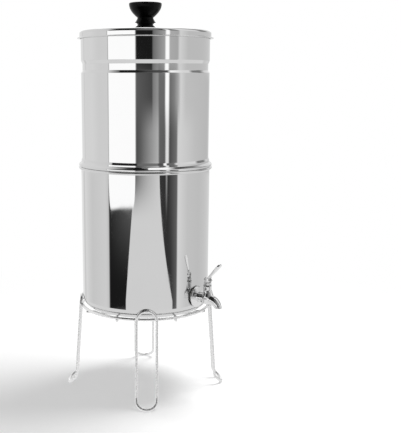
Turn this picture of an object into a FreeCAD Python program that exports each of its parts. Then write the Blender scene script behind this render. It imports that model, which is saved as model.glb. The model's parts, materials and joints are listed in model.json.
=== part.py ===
import FreeCAD, Part

import math
import os

from FreeCAD import Vector

# A gravity water filter on a wire stand, in millimetres.
# The origin is on the floor under the vessels' axis, +Z is up and the tap points to -Y.

# Stand
WIRE_D = 5.0
WELD_SET = 1.0
STAND_TURN = -50.0
RING_CLEAR = 1.2
REST_Z = 155.0
ROD_OFFSET = 52.0
ROD_OVERHANG = 2.5
ROD_CRANK_RUN = 16.0
ROD_CRANK_R = 12.0
LEG_COUNT = 4
LEG_WIDTH = 36.0
LEG_TOP_Z = 175.0
LEG_LEAN = 3.8
LEG_SET = 3.0
FOOT_LEAN = 45.0
FOOT_BEND_R = 8.0

# Lower vessel
SHEET = 0.8
LOWER_R_BOTTOM = 117.0
LOWER_DRAFT = 1.5
LOWER_KNUCKLE_R = 18.0
LOWER_H = 261.7
RIM_CURL_R = 2.6
RIM_CURL_FIRST = 180.0
RIM_CURL_LAST = -100.0

# Upper vessel
SPIGOT_CLEAR = 1.9
SPIGOT_DEPTH = 20.0
UPPER_KNUCKLE_R = 12.0
BEAD_SET_IN = 0.6
BEAD_H = 15.0
BEAD_FLAT = 6.5
UPPER_STEP = 0.5
UPPER_DRAFT = 1.4
UPPER_H = 243.0
SEAT_BEND_R = 1.0
BEAD_BEND_R = 2.5
GROOVE_BEND_R = 2.0
GROOVE_LOW = 169.5
GROOVE_SLOPE = 6.0
GROOVE_FLAT = 10.0
GROOVE_DEPTH = 3.4

# Lid
LID_CLEAR = 1.3
LID_REST_GAP = 0.02
LID_SKIRT = 14.2
LID_CORNER_R = 5.0
LID_HEM_W = 4.2
LID_HEM_H = 1.8
LID_HEM_EDGE_R = 0.7
LID_STEP_R = 8.0
LID_PAD_BEND = 6.0
LID_PAD_BEND_R = 30.0
LID_SEAT = 3.0
LID_RISE = 13.3
LID_PAD_R = 20.0

# Knob
KNOB_H = 37.0
KNOB_R = 29.7
KNOB_EDGE_R = 2.2
KNOB_NECK_R = 14.4
KNOB_BASE_R = 19.2
KNOB_FOOT_H = 1.2
KNOB_NECK_H = 10.5
KNOB_WAIST = 1.4
KNOB_WAIST_H = 5.0
KNOB_BELLY_IN = 4.0
KNOB_BELLY_H = 20.5
INSERT_ROOF = 2.0
INSERT_R = 4.0
INSERT_H = 12.0
KNOB_SCREW_R = 2.5
KNOB_SCREW_GRIP = 9.0
SCREW_HOLE_GAP = 0.3
SCREW_HEAD_R = 5.0
SCREW_HEAD_H = 3.2
SCREW_DRIVE = 3.0
KNOB_WASHER_R = 8.0
WASHER_T = 1.2

# Tap
TAP_H = 32.0
SHANK_R = 7.75
SHANK_HOLE_GAP = 0.35
SHANK_INSIDE = 20.0
SHANK_CHAMFER = 0.8
COLLAR_R = 19.5
COLLAR_LIP = 2.2
COLLAR_L = 4.6
TAP_SEAL_R = 13.5
TAP_SEAL_T = 1.6
TAP_NUT_ACROSS = 24.0
TAP_NUT_T = 6.0
HORN_R = 9.0
SPOUT_R = 6.25
SPOUT_BEND_R = 18.0
SPOUT_REACH = 48.0
SPOUT_DROP = 13.5
VALVE_BALL_R = 10.4
COLLAR_NECK = 2.0
COLLAR_EDGE_R = 0.6
COLLAR_BELL_R = 1.2
OUTLET_R = 4.25
OUTLET_DEPTH = 5.0
PASSAGE_R = 3.0
OUTLET_PASSAGE_DROP = 4.2
INLET_PASSAGE_RISE = 4.1
VALVE_REACH = 25.0
BOSS_R = 7.4
BOSS_TOP = 24.0
VALVE_CHAMBER_R = 5.0
VALVE_SEAT_RISE = 0.9
BONNET_R = 7.0
BONNET_H = 5.2
BONNET_EDGE_R = 1.0
BONNET_SEAL_IN = 0.3
BONNET_SPIGOT_L = 8.0
BONNET_ROOF = 3.0
BONNET_SEAL_T = 1.0
SPRING_BORE_R = 3.8

# Plunger, lever and spring
STEM_R = 2.0
STEM_GAP = 0.08
STEM_COLLAR_R = 3.5
STEM_COLLAR_T = 1.2
SEAT_CUP_R = 4.5
SEAT_CUP_H = 6.5
STEM_TONGUE_W = 2.4
TONGUE_GAP = 0.4
STEM_IN_CUP = 4.5
PIN_RISE = 5.0
PIN_R = 1.25
PIN_GAP = 0.05
LEVER_W = 8.0
LEVER_SLOT_W = 3.0
LEVER_SLOT_RISE = 3.2
LEVER_SLOT_REACH = 8.5
LEVER_ANGLE = 38.0
LEVER_L = 41.0
LEVER_T = 3.6
LEVER_TIP_W = 12.0
LEVER_EDGE_R = 1.0
LEVER_WAIST_L = 14.0
LEVER_WAIST_W = 7.2
LEVER_TIP_RUN = 5.0
LEVER_OPEN = 40.0
PLUNGER_LIFT = 2.4
CAM_GAP = 0.15
SPRING_WIRE_R = 0.35
SPRING_TURNS = 6
SPRING_END_GAP = 0.05

# Filter element and blanking plugs
OUTLET_COUNT = 3
OUTLET_PCR = 58.0
OUTLET_FIRST = 90.0
STEM_HOLE_R = 6.0
ELEMENT_R = 33.0
ELEMENT_WALL = 8.0
ELEMENT_L = 172.0
ELEMENT_NOSE_R = 16.0
CAP_R = 36.0
CAP_H = 22.0
CAP_CHAMFER = 6.0
CAP_BEND_R = 2.0
CAP_EDGE_R = 1.0
CAP_SOCKET = 12.0
CAP_STEM_R = 5.5
CAP_STEM_L = 28.0
CAP_STEM_BORE_R = 2.5
SEAL_R = 10.0
SEAL_T = 2.5
WING_HUB_R = 9.0
WING_HUB_H = 9.0
WING_SPAN = 36.0
WING_T = 3.0
WING_H = 14.0
WING_DROP = 2.0
WING_GAP = 1.0
PLUG_HEAD_R = 11.0
PLUG_HEAD_H = 5.0
PLUG_STEM_L = 16.0
PLUG_NUT_ACROSS = 19.0
PLUG_NUT_T = 6.0
PLUG_EDGE_R = 1.2

# Places that follow from the sizes above
WIRE_R = WIRE_D / 2
RING_R = LOWER_R_BOTTOM + RING_CLEAR
LOWER_R_TOP = LOWER_R_BOTTOM + LOWER_DRAFT
RIM_R = LOWER_R_TOP - SHEET + 2 * RIM_CURL_R
SPIGOT_R = LOWER_R_TOP - SHEET - SPIGOT_CLEAR
BEAD_R = RIM_R - BEAD_SET_IN
UPPER_R_BOTTOM = SPIGOT_R + UPPER_STEP
UPPER_R_TOP = UPPER_R_BOTTOM + UPPER_DRAFT
UPPER_ROD_Z = REST_Z - WIRE_R
RING_Z = UPPER_ROD_Z + WIRE_D - WELD_SET
LOWER_ROD_Z = UPPER_ROD_Z - WIRE_D + WELD_SET
LEG_R_AT_RING = RING_R + LEG_SET
LOWER_TOP = REST_Z + LOWER_H
UPPER_SEAT = LOWER_TOP
UPPER_BASE = UPPER_SEAT - SPIGOT_DEPTH
UPPER_TOP = UPPER_SEAT + UPPER_H
UPPER_FLOOR = UPPER_BASE + SHEET
LID_R = UPPER_R_TOP + LID_CLEAR + SHEET
LID_HEM_R = LID_R + LID_HEM_W
LID_CORNER_IN = UPPER_R_TOP - (LID_R - LID_CORNER_R)
LID_CORNER_REST = math.sqrt((LID_CORNER_R - SHEET) ** 2 - LID_CORNER_IN ** 2)
LID_CORNER_Z = UPPER_TOP + LID_REST_GAP + LID_CORNER_R - LID_CORNER_REST
LID_TOP = LID_CORNER_Z + LID_RISE
TAP_Z = REST_Z + TAP_H
VESSEL_R_AT_TAP = LOWER_R_BOTTOM + (LOWER_R_TOP - LOWER_R_BOTTOM) * TAP_H / LOWER_H
VALVE_Y = -(VESSEL_R_AT_TAP + VALVE_REACH)
SPOUT_Y = -(VESSEL_R_AT_TAP + SPOUT_REACH)
BOSS_Z = TAP_Z + BOSS_TOP
BONNET_BASE = BOSS_Z + BONNET_SEAL_T
BONNET_TOP = BONNET_BASE + BONNET_H
PIN_Z = BONNET_TOP + PIN_RISE
SEAT_Z = TAP_Z + VALVE_SEAT_RISE
SPRING_TOP = BONNET_TOP - BONNET_ROOF
SPRING_BASE = BONNET_BASE - BONNET_SPIGOT_L + STEM_COLLAR_T
ORIGIN = Vector(0, 0, 0)
UP = Vector(0, 0, 1)
ALONG_X = Vector(1, 0, 0)
ALONG_Y = Vector(0, 1, 0)


def save(name, shape):
    """Write one sub-part to its own file."""
    shape.exportStep(os.path.join("parts", name + ".step"))


def joined(shapes):
    """One solid from pieces that meet or overlap."""
    return shapes[0].multiFuse(shapes[1:]).removeSplitter()


def turned(shape, angle, centre=ORIGIN, axis=UP):
    """A copy turned about an axis."""
    copy = shape.copy()
    copy.rotate(centre, axis, angle)
    return copy


def column(radius, low, high, x=0.0, y=0.0):
    """An upright cylinder between two heights."""
    return Part.makeCylinder(radius, high - low, Vector(x, y, low), UP)


def beam(radius, near, far, z, x=0.0):
    """A cylinder that lies along Y between two places."""
    return Part.makeCylinder(radius, far - near, Vector(x, near, z), ALONG_Y)


def slab(x, y, z):
    """A box from three pairs of limits."""
    return Part.makeBox(x[1] - x[0], y[1] - y[0], z[1] - z[0], Vector(x[0], y[0], z[0]))


def upright_hexagon(across, low, high, x=0.0, y=0.0):
    """A hexagonal prism that stands along Z."""
    reach = across / math.sqrt(3)
    turns = [math.radians(60 * i) for i in range(6)]
    corners = [Vector(x + reach * math.cos(turn), y + reach * math.sin(turn), low) for turn in turns]
    face = Part.Face(Part.makePolygon(corners + corners[:1]))
    return face.extrude(Vector(0, 0, high - low))


def rounded_edges(points, radii):
    """Straight edges through the points, with an arc of the given radius at each inner point."""
    edges = []
    start = points[0]
    for i in range(1, len(points) - 1):
        here = points[i]
        back = (points[i - 1] - here).normalize()
        on = (points[i + 1] - here).normalize()
        radius = radii[i]
        if radius <= 0:
            edges.append(Part.LineSegment(start, here).toShape())
            start = here
            continue
        half = back.getAngle(on) / 2
        reach = radius / math.tan(half)
        middle = here + (back + on).normalize() * (radius / math.sin(half) - radius)
        first = here + back * reach
        last = here + on * reach
        if (first - start).Length > 1e-6:
            edges.append(Part.LineSegment(start, first).toShape())
        edges.append(Part.Arc(first, middle, last).toShape())
        start = last
    edges.append(Part.LineSegment(start, points[-1]).toShape())
    return edges


def sheet_edges(outline, thickness):
    """Both sides of a sheet whose outer side goes through (radius, height, bend radius) points.

    The inner side lies to the left of the outer side's direction.
    """
    outer = [Vector(r, 0, z) for r, z, bend in outline]
    count = len(outer)
    runs = [(outer[i + 1] - outer[i]).normalize() for i in range(count - 1)]
    lefts = [Vector(-run.z, 0, run.x) for run in runs]
    inner = [outer[0] + lefts[0] * thickness]
    outer_radii = [0]
    inner_radii = [0]
    for i in range(1, count - 1):
        both = lefts[i - 1] + lefts[i]
        inner.append(outer[i] + both * (2 * thickness / both.dot(both)))
        turn = lefts[i - 1].dot(runs[i])
        bend = outline[i][2]
        outer_radii.append(bend)
        inner_radii.append(bend - thickness if turn > 0 else bend + thickness)
    inner.append(outer[-1] + lefts[-1] * thickness)
    outer_radii.append(0)
    inner_radii.append(0)
    cap_a = Part.LineSegment(inner[0], outer[0]).toShape()
    cap_b = Part.LineSegment(outer[-1], inner[-1]).toShape()
    return [cap_a] + rounded_edges(outer, outer_radii) + [cap_b] + rounded_edges(inner, inner_radii)


def spun(edges):
    """A solid turned about Z from the edges of a closed outline in the XZ plane."""
    wire = Part.Wire(Part.__sortEdges__(edges))
    return Part.Face(wire).revolve(ORIGIN, UP, 360)


def spun_outline(points, radii=None):
    """A solid turned about Z from the corners of a closed outline as (radius, height)."""
    corners = [Vector(r, 0, z) for r, z in points]
    edges = rounded_edges(corners, radii or [0] * len(corners))
    edges.append(Part.LineSegment(corners[-1], corners[0]).toShape())
    return spun(edges)


def wire_along(edges, radius):
    """A round wire along straight edges and arcs that run on tangent to each other."""
    pieces = []
    for edge in edges:
        start = edge.valueAt(edge.FirstParameter)
        heading = edge.tangentAt(edge.FirstParameter)
        section = Part.Face(Part.Wire(Part.makeCircle(radius, start, heading)))
        if isinstance(edge.Curve, (Part.Line, Part.LineSegment)):
            pieces.append(section.extrude(edge.valueAt(edge.LastParameter) - start))
        else:
            sweep = math.degrees(edge.LastParameter - edge.FirstParameter)
            pieces.append(section.revolve(edge.Curve.Center, edge.Curve.Axis, sweep))
    return joined(pieces)


def stand_ring():
    """The ring round the lower vessel's knuckle."""
    ring = Part.makeTorus(RING_R, WIRE_R, Vector(0, 0, RING_Z), UP)
    return turned(ring, STAND_TURN)


def stand_rods():
    """Two rods under the vessel and two cranked ones below them, all welded under the ring."""
    half = math.sqrt(RING_R ** 2 - ROD_OFFSET ** 2) + ROD_OVERHANG
    crank = half - ROD_CRANK_RUN
    rods = {}
    for side, place in (("left", -ROD_OFFSET), ("right", ROD_OFFSET)):
        ends = (Vector(place, -half, UPPER_ROD_Z), Vector(place, half, UPPER_ROD_Z))
        straight = wire_along([Part.LineSegment(*ends).toShape()], WIRE_R)
        route = [
            Vector(-half, place, UPPER_ROD_Z),
            Vector(-crank, place, UPPER_ROD_Z),
            Vector(-crank + ROD_CRANK_RUN / 2, place, LOWER_ROD_Z),
            Vector(crank - ROD_CRANK_RUN / 2, place, LOWER_ROD_Z),
            Vector(crank, place, UPPER_ROD_Z),
            Vector(half, place, UPPER_ROD_Z),
        ]
        cranked = wire_along(rounded_edges(route, [0] + [ROD_CRANK_R] * 4 + [0]), WIRE_R)
        rods["stand_rod_upper_" + side] = turned(straight, STAND_TURN)
        rods["stand_rod_lower_" + side] = turned(cranked, STAND_TURN)
    return rods


def leg_loop():
    """One closed wire loop: an arch at the top, two wires and a bend to a foot on the floor.

    The leg goes outward along -Y, and the two wires are side by side along X.
    """
    bow = LEG_WIDTH / 2
    lean = math.radians(LEG_LEAN)
    foot = math.radians(FOOT_LEAN)
    down = Vector(0, -math.sin(lean), -math.cos(lean))
    foot_down = Vector(0, -math.sin(foot), -math.cos(foot))

    def on_leg(z):
        """The leg's own centre line at a height."""
        return Vector(0, -(LEG_R_AT_RING + (RING_Z - z) * math.tan(lean)), z)

    arch_top = on_leg(LEG_TOP_Z - WIRE_R)
    arch_start = arch_top + down * bow
    toe_z = WIRE_R
    bend = foot - lean
    reach = FOOT_BEND_R * math.tan(bend / 2)
    heel_z = toe_z + (bow + reach) * math.cos(foot)
    heel = on_leg(heel_z)
    heel_in = heel - down * reach
    heel_out = heel + foot_down * reach
    toe = heel_out + foot_down * bow
    across = ALONG_X * bow
    bow_in = FOOT_BEND_R / math.cos(bend / 2) - FOOT_BEND_R
    bend_middle = heel + (foot_down - down).normalize() * bow_in
    edges = [
        Part.Arc(arch_start - across, arch_top, arch_start + across).toShape(),
        Part.LineSegment(arch_start + across, heel_in + across).toShape(),
        Part.Arc(heel_in + across, bend_middle + across, heel_out + across).toShape(),
        Part.Arc(heel_out + across, toe, heel_out - across).toShape(),
        Part.Arc(heel_out - across, bend_middle - across, heel_in - across).toShape(),
        Part.LineSegment(heel_in - across, arch_start - across).toShape(),
    ]
    return wire_along(edges, WIRE_R)


def curl(centre_r, centre_z, first, last):
    """A rolled edge: part of a ring of sheet about a centre, from one angle to the other."""

    def at(radius, angle):
        turn = math.radians(angle)
        return Vector(centre_r + radius * math.cos(turn), 0, centre_z + radius * math.sin(turn))

    middle = (first + last) / 2
    inside = RIM_CURL_R - SHEET
    edges = [
        Part.Arc(at(RIM_CURL_R, first), at(RIM_CURL_R, middle), at(RIM_CURL_R, last)).toShape(),
        Part.LineSegment(at(RIM_CURL_R, last), at(inside, last)).toShape(),
        Part.Arc(at(inside, last), at(inside, middle), at(inside, first)).toShape(),
        Part.LineSegment(at(inside, first), at(RIM_CURL_R, first)).toShape(),
    ]
    return spun(edges)


def lower_chamber():
    """The lower vessel's drawn sheet body with its rolled rim and the hole for the tap."""
    curl_z = LOWER_TOP - RIM_CURL_R
    curl_r = LOWER_R_TOP - SHEET + RIM_CURL_R
    outline = [
        (0, REST_Z, 0),
        (LOWER_R_BOTTOM, REST_Z, LOWER_KNUCKLE_R),
        (LOWER_R_TOP, curl_z, 0),
    ]
    body = spun(sheet_edges(outline, SHEET))
    rim = curl(curl_r, curl_z, RIM_CURL_FIRST, RIM_CURL_LAST)
    hole = beam(SHANK_R + SHANK_HOLE_GAP, -2 * LOWER_R_TOP, -LOWER_R_BOTTOM / 2, TAP_Z)
    return joined([body, rim]).cut(hole)


def vessel_block(inside):
    """The space inside the lower vessel's wall surface, to shape the seals against it."""
    shift = SHEET if inside else 0
    low = LOWER_R_BOTTOM - shift
    high = LOWER_R_TOP - shift
    return Part.makeCone(low, high, LOWER_H - RIM_CURL_R, Vector(0, 0, REST_Z), UP)


def horn():
    """The tap's spout: level from the wall, then bent down while it narrows, with a level mouth."""
    end = math.acos(1 - SPOUT_DROP / SPOUT_BEND_R)
    bend_y = SPOUT_Y + SPOUT_BEND_R * math.sin(end)
    wall_y = -VESSEL_R_AT_TAP - TAP_SEAL_T
    centre = Vector(0, bend_y, TAP_Z - SPOUT_BEND_R)
    below = slab((-COLLAR_R, COLLAR_R), (SPOUT_Y - COLLAR_R, bend_y), (0, TAP_Z - SPOUT_DROP))

    def ring(radius, angle):
        """A section of the bend, at an angle from its level start."""
        turn = math.radians(angle)
        place = centre + Vector(0, -math.sin(turn), math.cos(turn)) * SPOUT_BEND_R
        return Part.Wire(Part.makeCircle(radius, place, Vector(0, -math.cos(turn), -math.sin(turn))))

    steps = 6
    sections = [
        ring(HORN_R + (SPOUT_R - HORN_R) * i / steps, 90.0 * i / steps)
        for i in range(steps + 1)
    ]
    bend = Part.makeLoft(sections, True, False)
    level = beam(HORN_R, bend_y, wall_y, TAP_Z)
    return [level, bend.cut(below)]


def outlet_passage():
    """The bore from under the valve seat to the spout's mouth."""
    z = TAP_Z - OUTLET_PASSAGE_DROP
    radius = SPOUT_DROP - OUTLET_DEPTH - OUTLET_PASSAGE_DROP
    bend_y = SPOUT_Y + radius
    turn = math.sqrt(0.5) * radius
    path = [
        Part.LineSegment(Vector(0, VALVE_Y, z), Vector(0, bend_y, z)).toShape(),
        Part.Arc(
            Vector(0, bend_y, z),
            Vector(0, bend_y - turn, z - radius + turn),
            Vector(0, SPOUT_Y, z - radius),
        ).toShape(),
    ]
    mouth_z = TAP_Z - SPOUT_DROP
    mouth = column(OUTLET_R, mouth_z - 1, mouth_z + OUTLET_DEPTH, 0, SPOUT_Y)
    return [wire_along(path, PASSAGE_R), mouth]


def tap_body():
    """The tap's casting: threaded shank, bell collar, valve boss and spout."""
    wall_y = -VESSEL_R_AT_TAP - TAP_SEAL_T
    rear_y = -VESSEL_R_AT_TAP + SHEET + SHANK_INSIDE
    shank = beam(SHANK_R, wall_y - 1, rear_y, TAP_Z)
    rear = [edge for edge in shank.Edges if abs(edge.BoundBox.YMin - rear_y) < 1e-6]
    shank = shank.makeChamfer(SHANK_CHAMFER, rear)
    bell = [
        (0, 0),
        (COLLAR_R, 0),
        (COLLAR_R, COLLAR_LIP),
        (HORN_R + COLLAR_NECK, COLLAR_L),
        (0, COLLAR_L),
    ]
    collar = spun_outline(bell, [0, COLLAR_EDGE_R, COLLAR_BELL_R, COLLAR_EDGE_R, 0])
    collar.rotate(ORIGIN, ALONG_X, 90)
    collar.translate(Vector(0, wall_y, TAP_Z))
    boss = column(BOSS_R, TAP_Z, BOSS_Z, 0, VALVE_Y)
    ball = Part.makeSphere(VALVE_BALL_R, Vector(0, VALVE_Y, TAP_Z))
    solid = joined([shank, collar, boss, ball] + horn())
    chamber = column(VALVE_CHAMBER_R, SEAT_Z, BOSS_Z + 1, 0, VALVE_Y)
    port = column(PASSAGE_R, TAP_Z - OUTLET_PASSAGE_DROP, SEAT_Z + 1, 0, VALVE_Y)
    inlet = beam(PASSAGE_R, VALVE_Y, rear_y + 1, TAP_Z + INLET_PASSAGE_RISE)
    return solid.cut(joined([chamber, port, inlet] + outlet_passage()))


def lying_hexagon(across, near, far, z):
    """A hexagonal prism that lies along Y."""
    nut = upright_hexagon(across, 0, far - near)
    nut.rotate(ORIGIN, ALONG_X, -90)
    nut.translate(Vector(0, near, z))
    return nut


def tap_fixings():
    """The seals on both sides of the wall and the nut that clamps them."""
    wall_y = -VESSEL_R_AT_TAP
    bore = beam(SHANK_R, wall_y - SHANK_INSIDE, wall_y + 2 * SHANK_INSIDE, TAP_Z)
    outer = beam(TAP_SEAL_R, wall_y - TAP_SEAL_T, wall_y + 3, TAP_Z)
    outer = outer.cut(vessel_block(False)).cut(bore)
    inner_y = wall_y + SHEET + TAP_SEAL_T
    reach = beam(TAP_SEAL_R, wall_y - 3, inner_y, TAP_Z)
    inner = reach.common(vessel_block(True)).cut(bore)
    nut = lying_hexagon(TAP_NUT_ACROSS, inner_y, inner_y + TAP_NUT_T, TAP_Z).cut(bore)
    return {"tap_outer_seal": outer, "tap_inner_seal": inner, "tap_lock_nut": nut}


def bonnet():
    """The screwed cap over the valve chamber, which guides the stem and holds the spring."""
    seal = column(BOSS_R - BONNET_SEAL_IN, BOSS_Z, BONNET_BASE, 0, VALVE_Y)
    seal = seal.cut(column(VALVE_CHAMBER_R, BOSS_Z - 1, BONNET_BASE + 1, 0, VALVE_Y))
    body = column(BONNET_R, BONNET_BASE, BONNET_TOP, 0, VALVE_Y)
    rim = [edge for edge in body.Edges if abs(edge.BoundBox.ZMin - BONNET_TOP) < 1e-6]
    body = body.makeFillet(BONNET_EDGE_R, rim)
    spigot = column(VALVE_CHAMBER_R, BONNET_BASE - BONNET_SPIGOT_L, BONNET_BASE, 0, VALVE_Y)
    room = column(SPRING_BORE_R, BONNET_BASE - BONNET_SPIGOT_L - 1, SPRING_TOP, 0, VALVE_Y)
    guide = column(STEM_R + STEM_GAP, SPRING_TOP - 1, BONNET_TOP + 1, 0, VALVE_Y)
    return {"tap_bonnet": joined([body, spigot]).cut(joined([room, guide])), "tap_bonnet_seal": seal}


def plunger():
    """The stem with its collar and tongue, its seat cup and the lever's pin."""
    collar_z = SPRING_BASE - STEM_COLLAR_T
    cup_top = SEAT_Z + SEAT_CUP_H
    stem_low = cup_top - STEM_IN_CUP
    stem = column(STEM_R, stem_low, PIN_Z + STEM_R, 0, VALVE_Y)
    collar = column(STEM_COLLAR_R, collar_z, SPRING_BASE, 0, VALVE_Y)
    stem = joined([stem, collar])
    flats = (BONNET_TOP - PLUNGER_LIFT - TONGUE_GAP, PIN_Z + 2 * STEM_R)
    across = (VALVE_Y - 2 * STEM_R, VALVE_Y + 2 * STEM_R)
    for side in (-1, 1):
        near, far = sorted((side * STEM_TONGUE_W / 2, side * 2 * STEM_R))
        stem = stem.cut(slab((near, far), across, flats))
    pin_line = Vector(-LEVER_W / 2, VALVE_Y, PIN_Z)
    pin = Part.makeCylinder(PIN_R, LEVER_W, pin_line, ALONG_X)
    cup = column(SEAT_CUP_R, SEAT_Z, cup_top, 0, VALVE_Y)
    cup = cup.cut(column(STEM_R, stem_low, cup_top + 1, 0, VALVE_Y))
    return {"tap_stem": stem.cut(pin), "tap_seat_cup": cup, "tap_lever_pin": pin}


def lever():
    """The paddle lever, with a cam under its head that lifts the stem as it tilts outward."""

    def polar(radius, angle):
        """A point round the pin in the YZ plane, with 0 straight down and angles toward -Y."""
        turn = math.radians(angle)
        return Vector(0, VALVE_Y - radius * math.sin(turn), PIN_Z - radius * math.cos(turn))

    low = PIN_RISE - CAM_GAP
    rate = PLUNGER_LIFT / math.radians(LEVER_OPEN)

    def cam(angle):
        """Where the cam touches the bonnet's flat top once the lever has tilted by an angle."""
        turn = math.radians(angle)
        lift = low + rate * turn
        out = lift * math.sin(turn) + rate * math.cos(turn)
        down = lift * math.cos(turn) - rate * math.sin(turn)
        return Vector(0, VALVE_Y - out, PIN_Z - down)

    paddle_end = polar(low, 90 + LEVER_ANGLE)
    outline = [
        Part.Arc(polar(low, -90), polar(low, -45), polar(low, 0)).toShape(),
        Part.LineSegment(polar(low, 0), cam(0)).toShape(),
        Part.Arc(cam(0), cam(LEVER_OPEN / 2), cam(LEVER_OPEN)).toShape(),
        Part.LineSegment(cam(LEVER_OPEN), paddle_end).toShape(),
        Part.Arc(paddle_end, polar(low, 180), polar(low, -90)).toShape(),
    ]
    head = Part.Face(Part.Wire(Part.__sortEdges__(outline))).extrude(ALONG_X * LEVER_W)
    head.translate(Vector(-LEVER_W / 2, 0, 0))
    tip = LEVER_L - LEVER_TIP_W / 2
    corners = [
        Vector(-LEVER_W / 2, 0, 0),
        Vector(-LEVER_WAIST_W / 2, -LEVER_WAIST_L, 0),
        Vector(-LEVER_TIP_W / 2, -tip + LEVER_TIP_RUN, 0),
        Vector(-LEVER_TIP_W / 2, -tip, 0),
    ]
    mirrored = [Vector(-corner.x, corner.y, 0) for corner in corners]
    left = Part.BSplineCurve()
    left.interpolate(corners)
    right = Part.BSplineCurve()
    right.interpolate(mirrored)
    paddle_edges = [
        left.toShape(),
        Part.Arc(corners[-1], Vector(0, -LEVER_L, 0), mirrored[-1]).toShape(),
        right.toShape(),
        Part.LineSegment(mirrored[0], corners[0]).toShape(),
    ]
    paddle = Part.Face(Part.Wire(Part.__sortEdges__(paddle_edges))).extrude(UP * LEVER_T)
    paddle = paddle.makeFillet(LEVER_EDGE_R, [
        edge for edge in paddle.Edges
        if edge.BoundBox.ZLength < 1e-6 and edge.BoundBox.YMin < -1
    ])
    paddle.translate(Vector(0, 0, -LEVER_T / 2))
    paddle.rotate(ORIGIN, ALONG_X, -LEVER_ANGLE)
    paddle.translate(Vector(0, VALVE_Y, PIN_Z))
    whole = joined([head, paddle])
    slot = slab(
        (-LEVER_SLOT_W / 2, LEVER_SLOT_W / 2),
        (VALVE_Y - LEVER_SLOT_REACH, VALVE_Y + 2 * LEVER_W),
        (PIN_Z - 2 * LEVER_W, PIN_Z + LEVER_SLOT_RISE),
    )
    bore = Part.makeCylinder(PIN_R + PIN_GAP, 2 * LEVER_W, Vector(-LEVER_W, VALVE_Y, PIN_Z), ALONG_X)
    return whole.cut(slot).cut(bore)


def tap_spring():
    """The closing spring between the stem's collar and the bonnet's roof."""
    low = SPRING_BASE + SPRING_WIRE_R + SPRING_END_GAP
    high = SPRING_TOP - SPRING_WIRE_R - SPRING_END_GAP
    coil_r = STEM_COLLAR_R - SPRING_WIRE_R
    helix = Part.makeHelix((high - low) / SPRING_TURNS, high - low, coil_r)
    start = helix.Edges[0].valueAt(helix.Edges[0].FirstParameter)
    section = Part.Wire(Part.makeCircle(SPRING_WIRE_R, start, ALONG_Y))
    coil = Part.Wire(helix.Edges).makePipeShell([section], True, True)
    coil.translate(Vector(0, VALVE_Y, low))
    return coil


def outlet_places():
    """Where the holes in the upper vessel's floor are."""
    step = 360.0 / OUTLET_COUNT
    angles = [math.radians(OUTLET_FIRST + step * i) for i in range(OUTLET_COUNT)]
    return [(OUTLET_PCR * math.cos(angle), OUTLET_PCR * math.sin(angle)) for angle in angles]


def upper_chamber():
    """The upper vessel's sheet body: spigot, seat bead, wall, formed groove and plain top edge."""
    slope = (UPPER_R_TOP - UPPER_R_BOTTOM) / (UPPER_H - BEAD_H)
    groove = UPPER_SEAT + GROOVE_LOW

    def wall(z):
        """The wall's radius at a height."""
        return UPPER_R_BOTTOM + slope * (z - UPPER_SEAT - BEAD_H)

    marks = [groove, groove + GROOVE_SLOPE]
    marks += [marks[1] + GROOVE_FLAT, marks[1] + GROOVE_FLAT + GROOVE_SLOPE]
    outline = [
        (0, UPPER_BASE, 0),
        (SPIGOT_R, UPPER_BASE, UPPER_KNUCKLE_R),
        (SPIGOT_R, UPPER_SEAT, SEAT_BEND_R),
        (BEAD_R, UPPER_SEAT, BEAD_BEND_R),
        (BEAD_R, UPPER_SEAT + BEAD_FLAT, BEAD_BEND_R),
        (wall(UPPER_SEAT + BEAD_H), UPPER_SEAT + BEAD_H, BEAD_BEND_R),
        (wall(marks[0]), marks[0], GROOVE_BEND_R),
        (wall(marks[1]) - GROOVE_DEPTH, marks[1], GROOVE_BEND_R),
        (wall(marks[2]) - GROOVE_DEPTH, marks[2], GROOVE_BEND_R),
        (wall(marks[3]), marks[3], GROOVE_BEND_R),
        (UPPER_R_TOP, UPPER_TOP, 0),
    ]
    body = spun(sheet_edges(outline, SHEET))
    for x, y in outlet_places():
        body = body.cut(column(STEM_HOLE_R, UPPER_BASE - 5, UPPER_BASE + 5, x, y))
    return body


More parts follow.
